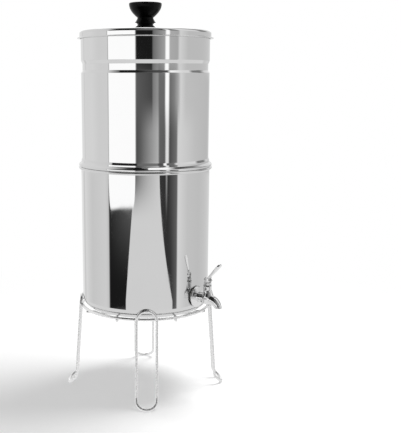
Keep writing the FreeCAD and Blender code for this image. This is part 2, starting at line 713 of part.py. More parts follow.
def filter_element(x, y):
    """The filter element: a ceramic shell with its core, its cap and stem, a seal and a wing nut."""
    cap_low = UPPER_FLOOR + SEAL_T
    shell_low = cap_low + CAP_H - CAP_SOCKET
    shell_high = shell_low + ELEMENT_L
    core_r = ELEMENT_R - ELEMENT_WALL
    shell = spun_outline(
        [(core_r, shell_low), (ELEMENT_R, shell_low), (ELEMENT_R, shell_high), (0, shell_high),
         (0, shell_high - ELEMENT_WALL), (core_r, shell_high - ELEMENT_WALL)],
        [0, 0, ELEMENT_NOSE_R, 0, 0, 0],
    )
    core = column(core_r, shell_low, shell_high - ELEMENT_WALL)
    cap = spun_outline(
        [(0, cap_low), (CAP_R - CAP_CHAMFER, cap_low), (CAP_R, cap_low + CAP_CHAMFER),
         (CAP_R, cap_low + CAP_H), (ELEMENT_R, cap_low + CAP_H), (ELEMENT_R, shell_low), (0, shell_low)],
        [0, CAP_BEND_R, CAP_BEND_R, CAP_EDGE_R, 0, 0, 0],
    )
    cap = joined([cap, column(CAP_STEM_R, cap_low - CAP_STEM_L, cap_low)])
    cap = cap.cut(column(CAP_STEM_BORE_R, cap_low - CAP_STEM_L - 1, shell_low + 1))
    seal = column(SEAL_R, UPPER_FLOOR, cap_low).cut(column(CAP_STEM_R, UPPER_FLOOR - 1, cap_low + 1))
    hub_low = UPPER_BASE - WING_HUB_H
    wing_low = hub_low - WING_DROP
    wing_high = min(wing_low + WING_H, UPPER_BASE - WING_GAP)
    wings = slab((-WING_SPAN / 2, WING_SPAN / 2), (-WING_T / 2, WING_T / 2), (wing_low, wing_high))
    wings = wings.common(column(WING_SPAN / 2, wing_low, wing_high))
    wings = wings.cut(column(CAP_STEM_R, wing_low - 1, wing_high + 1))
    nut = joined([column(WING_HUB_R, hub_low, UPPER_BASE), wings])
    nut = nut.cut(column(CAP_STEM_R, wing_low - 1, UPPER_BASE + 1))
    pieces = {
        "element_shell": shell,
        "element_core": core,
        "element_cap": cap,
        "element_seal": seal,
        "element_wing_nut": nut,
    }
    for piece in pieces.values():
        piece.translate(Vector(x, y, 0))
    return pieces


def blanking_plug(x, y):
    """A plug for a hole without an element: headed screw, seal and nut."""
    head_low = UPPER_FLOOR + SEAL_T
    head = column(PLUG_HEAD_R, head_low, head_low + PLUG_HEAD_H, x, y)
    rim = [edge for edge in head.Edges if abs(edge.BoundBox.ZMin - head_low - PLUG_HEAD_H) < 1e-6]
    head = head.makeFillet(PLUG_EDGE_R, rim)
    stem = column(CAP_STEM_R, UPPER_BASE - PLUG_STEM_L, head_low, x, y)
    seal = column(SEAL_R, UPPER_FLOOR, head_low, x, y)
    seal = seal.cut(column(CAP_STEM_R, UPPER_FLOOR - 1, head_low + 1, x, y))
    nut = upright_hexagon(PLUG_NUT_ACROSS, UPPER_BASE - PLUG_NUT_T, UPPER_BASE, x, y)
    nut = nut.cut(column(CAP_STEM_R, UPPER_BASE - PLUG_NUT_T - 1, UPPER_BASE + 1, x, y))
    return joined([head, stem]), seal, nut


def lid_cover():
    """The lid: a hemmed skirt, a flat seat on the vessel's edge and a low dome with a pad."""
    skirt_low = LID_CORNER_Z - LID_SKIRT
    outline = [
        (LID_R, skirt_low, 0),
        (LID_R, LID_CORNER_Z, LID_CORNER_R),
        (LID_R - LID_CORNER_R - LID_SEAT, LID_CORNER_Z, LID_STEP_R),
        (LID_PAD_R + LID_PAD_BEND, LID_TOP, LID_PAD_BEND_R),
        (0, LID_TOP, 0),
    ]
    body = spun(sheet_edges(outline, SHEET))
    hem = spun_outline(
        [(LID_R - SHEET, skirt_low), (LID_HEM_R, skirt_low), (LID_HEM_R, skirt_low + LID_HEM_H),
         (LID_R - SHEET, skirt_low + LID_HEM_H)],
        [0, LID_HEM_EDGE_R, LID_HEM_EDGE_R, 0],
    )
    hole = column(KNOB_SCREW_R + SCREW_HOLE_GAP, LID_TOP - LID_RISE / 2, LID_TOP + 1)
    return joined([body, hem]).cut(hole)


def knob():
    """The turned knob: a flared base on the dome, a waist and a wide top."""
    height = KNOB_H
    foot = Vector(KNOB_BASE_R, 0, KNOB_FOOT_H)
    waist = Vector(KNOB_NECK_R + KNOB_WAIST, 0, KNOB_WAIST_H)
    neck = Vector(KNOB_NECK_R, 0, KNOB_NECK_H)
    belly = Vector(KNOB_R - KNOB_BELLY_IN, 0, KNOB_BELLY_H)
    shoulder = Vector(KNOB_R, 0, height - KNOB_EDGE_R)
    edge_turn = math.sqrt(0.5)
    edges = [
        Part.LineSegment(Vector(0, 0, 0), Vector(KNOB_BASE_R, 0, 0)).toShape(),
        Part.LineSegment(Vector(KNOB_BASE_R, 0, 0), foot).toShape(),
        Part.Arc(foot, waist, neck).toShape(),
        Part.Arc(neck, belly, shoulder).toShape(),
        Part.Arc(
            shoulder,
            Vector(KNOB_R - KNOB_EDGE_R * (1 - edge_turn), 0, height - KNOB_EDGE_R * (1 - edge_turn)),
            Vector(KNOB_R - KNOB_EDGE_R, 0, height),
        ).toShape(),
        Part.LineSegment(Vector(KNOB_R - KNOB_EDGE_R, 0, height), Vector(0, 0, height)).toShape(),
        Part.LineSegment(Vector(0, 0, height), Vector(0, 0, 0)).toShape(),
    ]
    body = spun(edges).cut(column(INSERT_R, -1, INSERT_H))
    body.translate(Vector(0, 0, LID_TOP))
    insert = column(INSERT_R, LID_TOP, LID_TOP + INSERT_H)
    insert = insert.cut(column(KNOB_SCREW_R, LID_TOP - 1, LID_TOP + INSERT_H - INSERT_ROOF))
    under = LID_TOP - SHEET
    head_top = under - WASHER_T
    screw = joined([
        column(KNOB_SCREW_R, head_top, LID_TOP + KNOB_SCREW_GRIP),
        column(SCREW_HEAD_R, head_top - SCREW_HEAD_H, head_top),
    ])
    drive = upright_hexagon(SCREW_DRIVE, head_top - SCREW_HEAD_H - 1, head_top - SCREW_HEAD_H / 3)
    washer = column(KNOB_WASHER_R, head_top, under).cut(column(KNOB_SCREW_R, head_top - 1, under + 1))
    return {
        "knob": body,
        "knob_insert": insert,
        "knob_screw": screw.cut(drive),
        "knob_washer": washer,
    }


def build():
    """Make every sub-part and write it."""
    os.makedirs("parts", exist_ok=True)
    parts = {"stand_ring": stand_ring()}
    parts.update(stand_rods())
    loop = leg_loop()
    for number in range(LEG_COUNT):
        parts["stand_leg_%d" % (number + 1)] = turned(loop, STAND_TURN + 360.0 / LEG_COUNT * number)
    parts["lower_chamber"] = lower_chamber()
    parts["tap_body"] = tap_body()
    parts.update(tap_fixings())
    parts.update(bonnet())
    parts.update(plunger())
    parts["tap_lever"] = lever()
    parts["tap_spring"] = tap_spring()
    parts["upper_chamber"] = upper_chamber()
    places = outlet_places()
    parts.update(filter_element(*places[0]))
    for number, place in enumerate(places[1:], 1):
        names = ("plug", "plug_seal", "plug_nut")
        for name, shape in zip(names, blanking_plug(*place)):
            parts["%s_%d" % (name, number)] = shape
    parts["lid_cover"] = lid_cover()
    parts.update(knob())
    for name, shape in parts.items():
        save(name, shape)
        print(name, shape.isValid(), len(shape.Solids), round(shape.Volume, 1))


build()
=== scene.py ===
import json
import math

import bpy
from bpy.props import FloatProperty, FloatVectorProperty, IntProperty, PointerProperty, StringProperty
from mathutils import Matrix, Vector


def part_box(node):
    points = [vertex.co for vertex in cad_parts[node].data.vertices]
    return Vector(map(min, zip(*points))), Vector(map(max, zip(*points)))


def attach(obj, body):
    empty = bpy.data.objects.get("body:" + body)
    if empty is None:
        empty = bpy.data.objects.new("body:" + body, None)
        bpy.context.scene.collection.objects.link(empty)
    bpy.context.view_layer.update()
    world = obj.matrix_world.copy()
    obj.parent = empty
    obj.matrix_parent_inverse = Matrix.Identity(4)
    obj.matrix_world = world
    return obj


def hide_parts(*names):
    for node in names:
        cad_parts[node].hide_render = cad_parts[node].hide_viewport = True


bl_info = {
    "name": "Gravity water filter",
    "version": (1, 0, 0),
    "blender": (4, 5, 0),
    "location": "3D View > Sidebar > Water filter",
    "description": "Dresses a two-vessel gravity water filter on its wire stand",
    "category": "Object",
}

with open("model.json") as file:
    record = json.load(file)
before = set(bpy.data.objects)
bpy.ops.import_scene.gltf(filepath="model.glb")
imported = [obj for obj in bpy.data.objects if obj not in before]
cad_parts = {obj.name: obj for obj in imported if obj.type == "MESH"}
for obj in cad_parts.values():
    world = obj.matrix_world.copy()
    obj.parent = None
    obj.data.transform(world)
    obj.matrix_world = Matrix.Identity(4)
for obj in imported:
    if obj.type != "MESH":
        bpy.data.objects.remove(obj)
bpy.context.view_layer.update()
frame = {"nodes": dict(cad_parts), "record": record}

MM = 0.001
# An outline on the axis stops at POLE from it, and points within MERGE then become one
POLE = 0.005 * MM
MERGE = 0.02 * MM
CAD_MERGE = 0.001 * MM
ARC_STEP = math.radians(9)
# A corner that turns by less, in radians, is straight
STRAIGHT = 1e-4
# A face whose normal rises less than this belongs to a wall
WALL_RISE = 0.2
LEGS = 4
WHITE = (1, 1, 1, 1)


# Places read from the frame

def low_of(node):
    """A node's lowest corner."""
    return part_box(node)[0]


def high_of(node):
    """A node's highest corner."""
    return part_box(node)[1]


def middle_of(node):
    """The middle of a node's box."""
    return (low_of(node) + high_of(node)) / 2


VESSEL_FOOT = low_of("lower_chamber").z
LOWER_TOP = high_of("lower_chamber").z
UPPER_FOOT = low_of("upper_chamber").z
UPPER_TOP = high_of("upper_chamber").z
LID_FOOT = low_of("lid_cover").z
LID_TOP = high_of("lid_cover").z
KNOB_TOP = high_of("knob").z
RING_Z = middle_of("stand_ring").z
LEG_TOP = high_of("stand_leg_1").z
TAP_Z = middle_of("tap_outer_seal").z
VALVE_Y = middle_of("tap_bonnet").y
BONNET_TOP = high_of("tap_bonnet").z
BONNET_FOOT = high_of("tap_bonnet_seal").z
BOSS_TOP = low_of("tap_bonnet_seal").z
MOUTH = next(Vector(mount["pos_m"]) for mount in frame["record"]["mounts"] if mount["name"] == "outlet")
SHANK_END = high_of("tap_body").y
COLLAR_BACK = low_of("tap_outer_seal").y


def length_mm(name, description, default):
    """A length that a user can change, given in millimetres."""
    return FloatProperty(name=name, description=description, default=default * MM, unit="LENGTH")


def angle_deg(name, description, default):
    """An angle that a user can change, given in degrees."""
    return FloatProperty(name=name, description=description, default=math.radians(default), subtype="ANGLE")


class VesselSizes(bpy.types.PropertyGroup):
    """Sizes of the drawn and polished sheet vessels."""

    sheet: length_mm("Sheet", "Thickness of the sheet", 0.8)
    lower_r_foot: length_mm("Lower radius at foot", "Outside, above the knuckle", 117.0)
    lower_r_top: length_mm("Lower radius at top", "Outside, under the rim", 118.5)
    lower_knuckle: length_mm("Lower knuckle", "Bend between wall and floor", 18.0)
    curl: length_mm("Rim curl", "Radius of the rolled rim", 2.6)
    spigot_r: length_mm("Spigot radius", "Upper vessel inside the lower one", 115.8)
    upper_knuckle: length_mm("Upper knuckle", "Bend between spigot and floor", 12.0)
    bead_r: length_mm("Bead radius", "Seat bead", 122.3)
    bead_h: length_mm("Bead height", "Bead and band", 15.0)
    bead_flat: length_mm("Bead flat", "Bead's outer face", 4.0)
    band_r: length_mm("Band radius", "Band above the bead", 117.9)
    band_low: length_mm("Band foot", "Above the seat", 8.0)
    band_high: length_mm("Band top", "Above the seat", 11.0)
    upper_r_foot: length_mm("Upper radius at bead", "Outside", 116.3)
    upper_r_top: length_mm("Upper radius at top", "Outside", 117.7)
    groove_rise: length_mm("Groove rise", "From the seat to the groove", 169.5)
    groove_foot: length_mm("Groove foot", "Height of the lower sloping side", 4.2)
    groove_slope: length_mm("Groove slope", "Height of the upper sloping side", 6.0)
    groove_flat: length_mm("Groove flat", "Height of the groove's floor", 11.8)
    groove_depth: length_mm("Groove depth", "Inward", 2.6)
    tap_hole: length_mm("Tap hole", "Radius", 8.1)
    outlet_hole: length_mm("Outlet holes", "Radius", 6.0)
    sides: IntProperty(name="Sides", description="Faces round each vessel", default=240, min=48, max=480)


class LidSizes(bpy.types.PropertyGroup):
    """Sizes of the lid and its knob."""

    skirt_r: length_mm("Skirt radius", "Outside", 119.8)
    skirt_h: length_mm("Skirt height", "From hem to corner", 14.2)
    corner: length_mm("Corner", "Bend at the skirt's top", 5.0)
    seat: length_mm("Seat", "Width of the flat edge", 3.0)
    hem_r: length_mm("Hem radius", "Outside", 124.0)
    hem_h: length_mm("Hem", "Thickness of the folded hem", 1.8)
    pad_r: length_mm("Pad radius", "Flat under the knob", 26.0)
    screw_hole: length_mm("Screw hole", "Radius", 2.8)
    knob_r: length_mm("Knob radius", "At its top", 29.7)
    neck_r: length_mm("Neck radius", "Knob's waist", 14.4)
    neck_h: length_mm("Neck height", "Above the lid", 10.5)
    base_r: length_mm("Knob base radius", "On the lid", 19.2)
    insert_r: length_mm("Insert radius", "Brass insert", 4.0)
    insert_h: length_mm("Insert height", "Brass insert", 12.0)


class StandSizes(bpy.types.PropertyGroup):
    """Sizes of the wire stand."""

    wire: length_mm("Wire", "Wire diameter", 5.0)
    ring_r: length_mm("Ring radius", "To the wire's centre", 118.2)
    turn: angle_deg("Turn", "First leg from the tap's side", -50)
    leg_w: length_mm("Leg width", "Between wire centres", 36.0)
    leg_set: length_mm("Leg set", "Outside the ring's centre", 3.0)
    lean: angle_deg("Lean", "Legs outward", 3.8)
    foot_lean: angle_deg("Foot lean", "Feet outward", 45)
    foot_bend: length_mm("Foot bend", "Radius above the foot", 8.0)
    rod_offset: length_mm("Rod offset", "From the axis", 52.0)
    rod_overhang: length_mm("Rod overhang", "Past the ring", 2.5)
    crank_run: length_mm("Crank", "Length from the rod's end", 16.0)
    crank_r: length_mm("Crank bend", "Bend radius", 12.0)
    weld: length_mm("Weld", "Depth that welded wires share", 1.0)


class TapSizes(bpy.types.PropertyGroup):
    """Sizes of the tap."""

    shank_r: length_mm("Shank radius", "Threaded shank", 7.75)
    collar_r: length_mm("Collar radius", "Against the wall", 19.5)
    collar_l: length_mm("Collar length", "Bell's length", 4.6)
    horn_r: length_mm("Horn radius", "At the collar", 9.0)
    spout_r: length_mm("Spout radius", "At the mouth", 6.25)
    spout_bend: length_mm("Spout bend", "Bend radius", 18.0)
    mouth_r: length_mm("Mouth", "Bore radius", 4.25)
    boss_r: length_mm("Boss radius", "Under the bonnet", 7.4)
    ball_r: length_mm("Ball radius", "Round the valve seat", 10.4)
    room_r: length_mm("Valve room", "Radius inside the boss", 5.0)
    bonnet_r: length_mm("Bonnet radius", "Outside", 7.0)
    arm_bend: angle_deg("Arm bend", "Lever's arm above its head", 10)
    arm_bend_at: length_mm("Arm bend at", "From the pin", 8.0)
    grain: length_mm("Casting detail", "Finest step", 0.5)


class FinishColours(bpy.types.PropertyGroup):
    """Colours of the finishes as sRGB hex values."""

    steel: StringProperty(name="Polished steel", description="Mirror-polished sheet", default="#DDDDDD")
    wire: StringProperty(name="Bright wire", description="Nickel-chrome plated wire", default="#F6F6F6")
    cast: StringProperty(name="Cast steel", description="Polished casting", default="#EDEDED")
    black: StringProperty(name="Black phenolic", description="Glossy knob", default="#090909")
    ceramic: StringProperty(name="Ceramic", description="White filter ceramic", default="#F1F0EC")
    tan: StringProperty(name="Tan plastic", description="Moulded ABS cap", default="#C5AC78")


def sizes(name):
    """One of the scene's groups of sizes."""
    return getattr(bpy.context.scene, "water_filter_" + name)


# Finishes

def linear(code):
    """An sRGB hex value as a linear colour."""
    parts = [int(code[i:i + 2], 16) / 255 for i in (1, 3, 5)]
    return [part / 12.92 if part <= 0.04045 else ((part + 0.055) / 1.055) ** 2.4 for part in parts] + [1.0]


def grey(level):
    """A neutral grey, from 0 to 255 as sRGB, as a linear colour."""
    return linear("#" + "%02X" % round(level) * 3)


def add_node(tree, kind, sockets=None, **settings):
    """Add a node with its settings; a socket takes a value, or a link where it is given another's output."""
    node = tree.nodes.new(kind)
    for name, value in settings.items():
        setattr(node, name, value)
    for name, value in (sockets or {}).items():
        if isinstance(value, bpy.types.NodeSocket):
            tree.links.new(value, node.inputs[name])
        else:
            node.inputs[name].default_value = value
    return node


def emptied(holder):
    """The node tree of a material or a world, with nothing in it."""
    holder.use_nodes = True
    holder.node_tree.nodes.clear()
    return holder.node_tree


def new_material(name, constants):
    """A material with its output and a Principled BSDF with some constants, as (material, tree, shader)."""
    material = bpy.data.materials.new(name)
    tree = emptied(material)
    shader = tree.nodes.new("ShaderNodeBsdfPrincipled")
    for socket, value in constants.items():
        shader.inputs[socket].default_value = value
    add_node(tree, "ShaderNodeOutputMaterial", {"Surface": shader.outputs["BSDF"]})
    return material, tree, shader


def noise_at(tree, size, detail=3.0, stretch=(1, 1, 1), roughness=0.5):
    """A noise whose features are about a given size in metres, stretched along X, Y or Z."""
    place = add_node(tree, "ShaderNodeTexCoord").outputs["Object"]
    scale = tuple(1 / part for part in stretch)
    fitted = add_node(tree, "ShaderNodeMapping", {"Vector": place, "Scale": scale}).outputs["Vector"]
    noise = add_node(tree, "ShaderNodeTexNoise", {
        "Vector": fitted, "Scale": 1 / size, "Detail": detail, "Roughness": roughness,
    })
    return noise.outputs["Fac"]


def between(tree, value, low, high, from_low=0.3, from_high=0.7):
    """Map a noise's useful range to a range of values."""
    spread = add_node(tree, "ShaderNodeMapRange", {
        "Value": value, "From Min": from_low, "From Max": from_high, "To Min": low, "To Max": high,
    })
    return spread.outputs["Result"]


def eased(tree, value, low, high):
    """Map a value to 0 at one end of a range and 1 at the other, with a soft start and stop."""
    step = add_node(tree, "ShaderNodeMapRange", {
        "Value": value, "From Min": low, "From Max": high,
    }, interpolation_type="SMOOTHSTEP")
    return step.outputs["Result"]


def mixed(tree, amount, first, second):
    """A blend of two colours, each of them a value or a link."""
    mix = add_node(tree, "ShaderNodeMix", {"Factor": amount, 6: first, 7: second}, data_type="RGBA")
    return mix.outputs[2]


def glowing(tree, kind, colour, strength):
    """A shader that glows, for a surface or for the world."""
    return add_node(tree, kind, {"Color": colour, "Strength": strength}).outputs[0]


def either(tree, amount, first, second):
    """The first shader where an amount is 0, the second where it is 1."""
    return add_node(tree, "ShaderNodeMixShader", {0: amount, 1: first, 2: second}).outputs["Shader"]


def glossed(tree, shader, amount, smooth, rough, **limits):
    """Vary the roughness between two values by a noise."""
    tree.links.new(between(tree, amount, smooth, rough, **limits), shader.inputs["Roughness"])


def tinted(tree, shader, amount, dark, light):
    """Vary the base colour between two sRGB hex values by a pattern from 0 to 1."""
    tree.links.new(mixed(tree, amount, linear(dark), linear(light)), shader.inputs["Base Color"])


def relief(tree, shader, height, depth, strength):
    """Raise the surface by a pattern, to a depth in metres."""
    bump = add_node(tree, "ShaderNodeBump", {"Height": height, "Distance": depth, "Strength": strength})
    tree.links.new(bump.outputs["Normal"], shader.inputs["Normal"])


def one_noise(name, constants, noise, gloss, colours, depth, strength, spread=False):
    """A finish whose gloss, colour and relief follow one noise, spread over its useful range if asked."""
    material, tree, shader = new_material(name, constants)
    skin = noise_at(tree, **noise)
    glossed(tree, shader, skin, *gloss)
    tinted(tree, shader, between(tree, skin, 0.0, 1.0) if spread else skin, *colours)
    relief(tree, shader, skin, depth, strength)
    return material


def polished_sheet():
    """Mirror-polished 304 stainless sheet."""
    material, tree, shader = new_material("mirror_polished_304_sheet", {"Metallic": 1.0})
    # Forming leaves slow waves 60 mm long, which make the edges of reflections wander a little
    waves = noise_at(tree, 60 * MM, detail=1.0, stretch=(1, 1, 2.6))
    # Hands leave soft smudges about 45 mm wide, where the mirror dulls slightly
    smudges = noise_at(tree, 45 * MM, detail=4.0)
    glossed(tree, shader, smudges, 0.02, 0.055, from_low=0.45, from_high=0.72)
    tinted(tree, shader, smudges, "#DADADA", sizes("colours").steel)
    relief(tree, shader, waves, 0.25 * MM, 0.35)
    return material


def bright_wire():
    """Nickel-chrome plated drawn wire."""
    material, tree, shader = new_material("nickel_chrome_plated_wire", {"Metallic": 1.0})
    # Satin plating over the drawn wire's fine skin spreads the reflections, a little more every 4 mm
    skin = noise_at(tree, 4 * MM, detail=4.0)
    glossed(tree, shader, skin, 0.24, 0.30)
    tinted(tree, shader, between(tree, skin, 0.0, 1.0), "#F1F1F1", sizes("colours").wire)
    return material


def weld_metal():
    """Resistance-weld metal, plated over with the wire."""
    # Squeezed-out weld metal stays lumpy at about 1 mm and duller than the wire
    return one_noise(
        "plated_weld_nugget", {"Metallic": 1.0}, {"size": 1.1 * MM, "detail": 5.0},
        gloss=(0.2, 0.42), colours=("#A9A8A6", "#CFCFCF"), depth=0.15 * MM, strength=0.6, spread=True,
    )


def cast_steel():
    """Investment-cast stainless steel, polished."""
    material, tree, shader = new_material("polished_cast_stainless", {"Metallic": 1.0})
    # A polished casting keeps a soft orange-peel about 3 mm across, and its shine varies every 14 mm
    peel = noise_at(tree, 3.2 * MM, detail=2.0)
    haze = noise_at(tree, 14 * MM, detail=4.0)
    glossed(tree, shader, haze, 0.10, 0.20)
    tinted(tree, shader, between(tree, haze, 0.0, 1.0), "#E2E2E2", sizes("colours").cast)
    relief(tree, shader, peel, 0.03 * MM, 0.35)
    return material


def spring_steel():
    """Hard-drawn spring wire, unpolished."""
    # Drawing leaves the wire slightly dull, with marks under 1 mm
    return one_noise(
        "hard_drawn_spring_wire", {"Metallic": 1.0}, {"size": 0.8 * MM, "detail": 4.0},
        gloss=(0.22, 0.38), colours=("#8E8F92", "#B4B5B8"), depth=0.01 * MM, strength=0.4,
    )


def black_phenolic():
    """Compression-moulded phenolic, glossy black."""
    constants = {"IOR": 1.5, "Specular IOR Level": 0.12}
    material, tree, shader = new_material("moulded_black_phenolic", constants)
    # Moulded gloss has a grain under 1 mm and handling marks 18 mm wide that spread its highlights
    grain = noise_at(tree, 0.7 * MM, detail=3.0)
    marks = noise_at(tree, 18 * MM, detail=5.0)
    glossed(tree, shader, marks, 0.22, 0.36)
    tinted(tree, shader, grain, "#050506", sizes("colours").black)
    relief(tree, shader, grain, 0.01 * MM, 0.3)
    return material


def turned_brass():
    """Free-cutting brass, turned."""
    # A lathe tool leaves rings 0.4 mm apart
    return one_noise(
        "turned_brass", {"Metallic": 1.0}, {"size": 0.4 * MM, "detail": 2.0, "stretch": (20, 20, 1)},
        gloss=(0.2, 0.35), colours=("#A8864A", "#CDAE6C"), depth=0.01 * MM, strength=0.5,
    )


def filter_ceramic():
    """Fine porous filter ceramic, unglazed."""
    constants = {"IOR": 1.5, "Specular IOR Level": 0.3}
    material, tree, shader = new_material("unglazed_filter_ceramic", constants)
    # The pores are too fine to see, and show as a chalky surface mottled every 2 mm, clouded every 40 mm
    chalk = noise_at(tree, 2.2 * MM, detail=6.0, roughness=0.65)
    clouds = noise_at(tree, 40 * MM, detail=3.0)
    glossed(tree, shader, chalk, 0.62, 0.82)
    tinted(tree, shader, between(tree, clouds, 0.0, 1.0), "#E6E4DD", sizes("colours").ceramic)
    relief(tree, shader, chalk, 0.04 * MM, 0.5)
    return material


def carbon_block():
    """Pressed carbon granules."""
    material, tree, shader = new_material("pressed_carbon_granules", {})
    # Granules of about 1 mm, coloured with a painted highlight and painted shade: each granule is lighter at
    # its middle and darker towards the gaps between granules, and the gloss and relief follow the same
    # pattern
    place = add_node(tree, "ShaderNodeTexCoord").outputs["Object"]
    granules = add_node(tree, "ShaderNodeTexVoronoi", {"Vector": place, "Scale": 1 / (1.0 * MM)})
    depth = granules.outputs["Distance"]
    glossed(tree, shader, depth, 0.85, 0.5, from_low=0.0, from_high=0.8)
    tinted(tree, shader, depth, "#26262A", "#0E0E10")
    relief(tree, shader, depth, 0.3 * MM, 0.8)
    return material


def moulded_plastic(name, dark, light, grit):
    """A satin injection-moulded plastic with spark-eroded grain of a given size."""
    # The tool's spark-eroded grain gives the satin look
    return one_noise(
        name, {"IOR": 1.5}, {"size": grit, "detail": 4.0, "roughness": 0.6},
        gloss=(0.36, 0.54), colours=(dark, light), depth=0.02 * MM, strength=0.5, spread=True,
    )


def tan_abs():
    """Injection-moulded tan ABS."""
    # Grain of 0.8 mm, just too fine to see singly
    return moulded_plastic("moulded_tan_abs", "#B99F6A", sizes("colours").tan, 0.8 * MM)


def white_polypropylene():
    """Injection-moulded white polypropylene."""
    # Grain of 0.9 mm, a little coarser than the cap's
    return moulded_plastic("moulded_white_polypropylene", "#E2E2DD", "#EEEEEA", 0.9 * MM)


def milky_silicone():
    """Moulded food-grade silicone, slightly see-through."""
    # Silicone lets some light in and keeps a dusty skin, uneven every 3 mm
    constants = {
        "IOR": 1.42, "Subsurface Weight": 0.35, "Subsurface Scale": 1.0,
        "Subsurface Radius": (1.5 * MM, 1.4 * MM, 1.3 * MM),
    }
    return one_noise(
        "milky_silicone", constants, {"size": 3 * MM, "detail": 5.0},
        gloss=(0.4, 0.6), colours=("#D2D2CD", "#E2E2DE"), depth=0.01 * MM, strength=0.3,
    )


def nitrile_rubber():
    """Moulded black nitrile rubber."""
    # Rubber is matt, with a dry bloom that greys it in patches 2 mm wide
    return one_noise(
        "black_nitrile_rubber", {"IOR": 1.52}, {"size": 2 * MM, "detail": 5.0},
        gloss=(0.65, 0.85), colours=("#141415", "#242426"), depth=0.02 * MM, strength=0.4,
    )


MAKERS = {
    "polished_steel": polished_sheet,
    "bright_wire": bright_wire,
    "weld": weld_metal,
    "cast_steel": cast_steel,
    "spring_steel": spring_steel,
    "black_gloss_plastic": black_phenolic,
    "brass": turned_brass,
    "ceramic": filter_ceramic,
    "carbon_core": carbon_block,
    "tan_plastic": tan_abs,
    "white_plastic": white_polypropylene,
    "silicone": milky_silicone,
    "black_rubber": nitrile_rubber,
}
made = {}


def finish_for(slot):
    """The material for a slot, made when it is first asked for."""
    if slot not in made:
        made[slot] = MAKERS[slot]()
    return made[slot]


# Modelling

def start_fresh():
    """Leave edit mode and deselect everything, so that the next operator acts on its own piece alone."""
    if bpy.context.mode != "OBJECT":
        bpy.ops.object.mode_set(mode="OBJECT")
    bpy.ops.object.select_all(action="DESELECT")


def take_up(piece):
    """Make a piece the one selected and active object."""
    start_fresh()
    piece.select_set(True)
    bpy.context.view_layer.objects.active = piece


def edit_all(piece):
    """Take up a piece in edit mode, with all of it selected."""
    take_up(piece)
    bpy.ops.object.mode_set(mode="EDIT")
    bpy.ops.mesh.select_all(action="SELECT")


def joined(parts):
    """Join parts into the first of them."""
    start_fresh()
    for part in parts:
        part.select_set(True)
    bpy.context.view_layer.objects.active = parts[0]
    bpy.ops.object.join()
    return bpy.context.object


def apply_modifier(piece, kind, **settings):
    """Add a modifier to a piece and apply it."""
    take_up(piece)
    modifier = piece.modifiers.new(kind.title(), kind)
    for name, value in settings.items():
        setattr(modifier, name, value)
    bpy.ops.object.modifier_apply(modifier=modifier.name)


def bake_place(piece):
    """Move a piece's place into its mesh."""
    take_up(piece)
    bpy.ops.object.transform_apply(location=True, rotation=True, scale=True)


def close_up(piece):
    """Merge the doubled points of the piece in edit mode, turn its faces outward and bake its place."""
    bpy.ops.mesh.select_all(action="SELECT")
    bpy.ops.mesh.remove_doubles(threshold=MERGE)
    bpy.ops.mesh.normals_make_consistent(inside=False)
    bake_place(piece)


def smooth_faces(piece, angle=35):
    """Shade a piece smooth, with its flat faces kept flat."""
    take_up(piece)
    bpy.ops.object.shade_smooth_by_angle(angle=math.radians(angle))
    apply_modifier(piece, "WEIGHTED_NORMAL", keep_sharp=True)


def finish_piece(piece, name, slot, body, *nodes, finish=None):
    """Name a piece, give it its finish, tie it to its body and hide the nodes that it stands for."""
    start_fresh()
    piece.name = name
    piece.data.name = name
    piece.data.materials.clear()
    piece.data.materials.append(finish_for(finish or slot))
    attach(piece, body)
    if nodes:
        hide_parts(*nodes)


def arc(centre, radius, first, last, steps):
    """The (radius, height) points of an arc between two angles in degrees."""
    turns = [math.radians(first + (last - first) * i / steps) for i in range(steps + 1)]
    x, y = centre
    return [Vector((x + radius * math.cos(turn), y + radius * math.sin(turn))) for turn in turns]


def rounded(corners):
    """The points of an outline given by (radius, height, bend radius) corners."""
    points = [Vector(corners[0][:2])]
    for before, here, after in zip(corners, corners[1:], corners[2:]):
        corner = Vector(here[:2])
        onto = (corner - Vector(before[:2])).normalized()
        away = (Vector(after[:2]) - corner).normalized()
        turn = onto.angle_signed(away)
        if here[2] <= 0 or abs(turn) < STRAIGHT:
            points.append(corner)
            continue
        reach = here[2] * math.tan(abs(turn) / 2)
        centre = corner + (away - onto).normalized() * (here[2] / math.cos(turn / 2))
        arm = corner - onto * reach - centre
        steps = max(3, math.ceil(abs(turn) / ARC_STEP))
        for i in range(steps + 1):
            points.append(centre + Matrix.Rotation(-turn * i / steps, 2) @ arm)
    points.append(Vector(corners[-1][:2]))
    return points


def turned_piece(points, sides, centre=(0, 0)):
    """A turned shape: a ring of vertices carried through (radius, height) points by extruding and scaling."""
    start_fresh()
    x, y = centre
    radius = max(points[0][0], POLE)
    height = points[0][1]
    bpy.ops.mesh.primitive_circle_add(vertices=sides, radius=radius, location=(x, y, height))
    piece = bpy.context.object
    edit_all(piece)
    for next_radius, next_height in points[1:]:
        next_radius = max(next_radius, POLE)
        rise = (0, 0, next_height - height)
        bpy.ops.mesh.extrude_region_move(TRANSFORM_OT_translate={"value": rise})
        ratio = next_radius / radius
        bpy.ops.transform.resize(value=(ratio, ratio, 1), center_override=(x, y, next_height))
        radius, height = next_radius, next_height
    close_up(piece)
    return piece


def face_side(piece, outward):
    """Turn all faces of an open turned sheet to its outer or its inner side, judged on its walls."""
    walls = [face for face in piece.data.polygons if abs(face.normal.z) < WALL_RISE]
    facing = sum(face.area * face.normal.xy.dot(face.center.xy) for face in walls)
    if (facing > 0) != outward:
        edit_all(piece)
        bpy.ops.mesh.flip_normals()
        start_fresh()


def thicken(piece, sheet):
    """Give a sheet its thickness behind its faces."""
    apply_modifier(piece, "SOLIDIFY", thickness=sheet, offset=-1.0, use_even_offset=True)


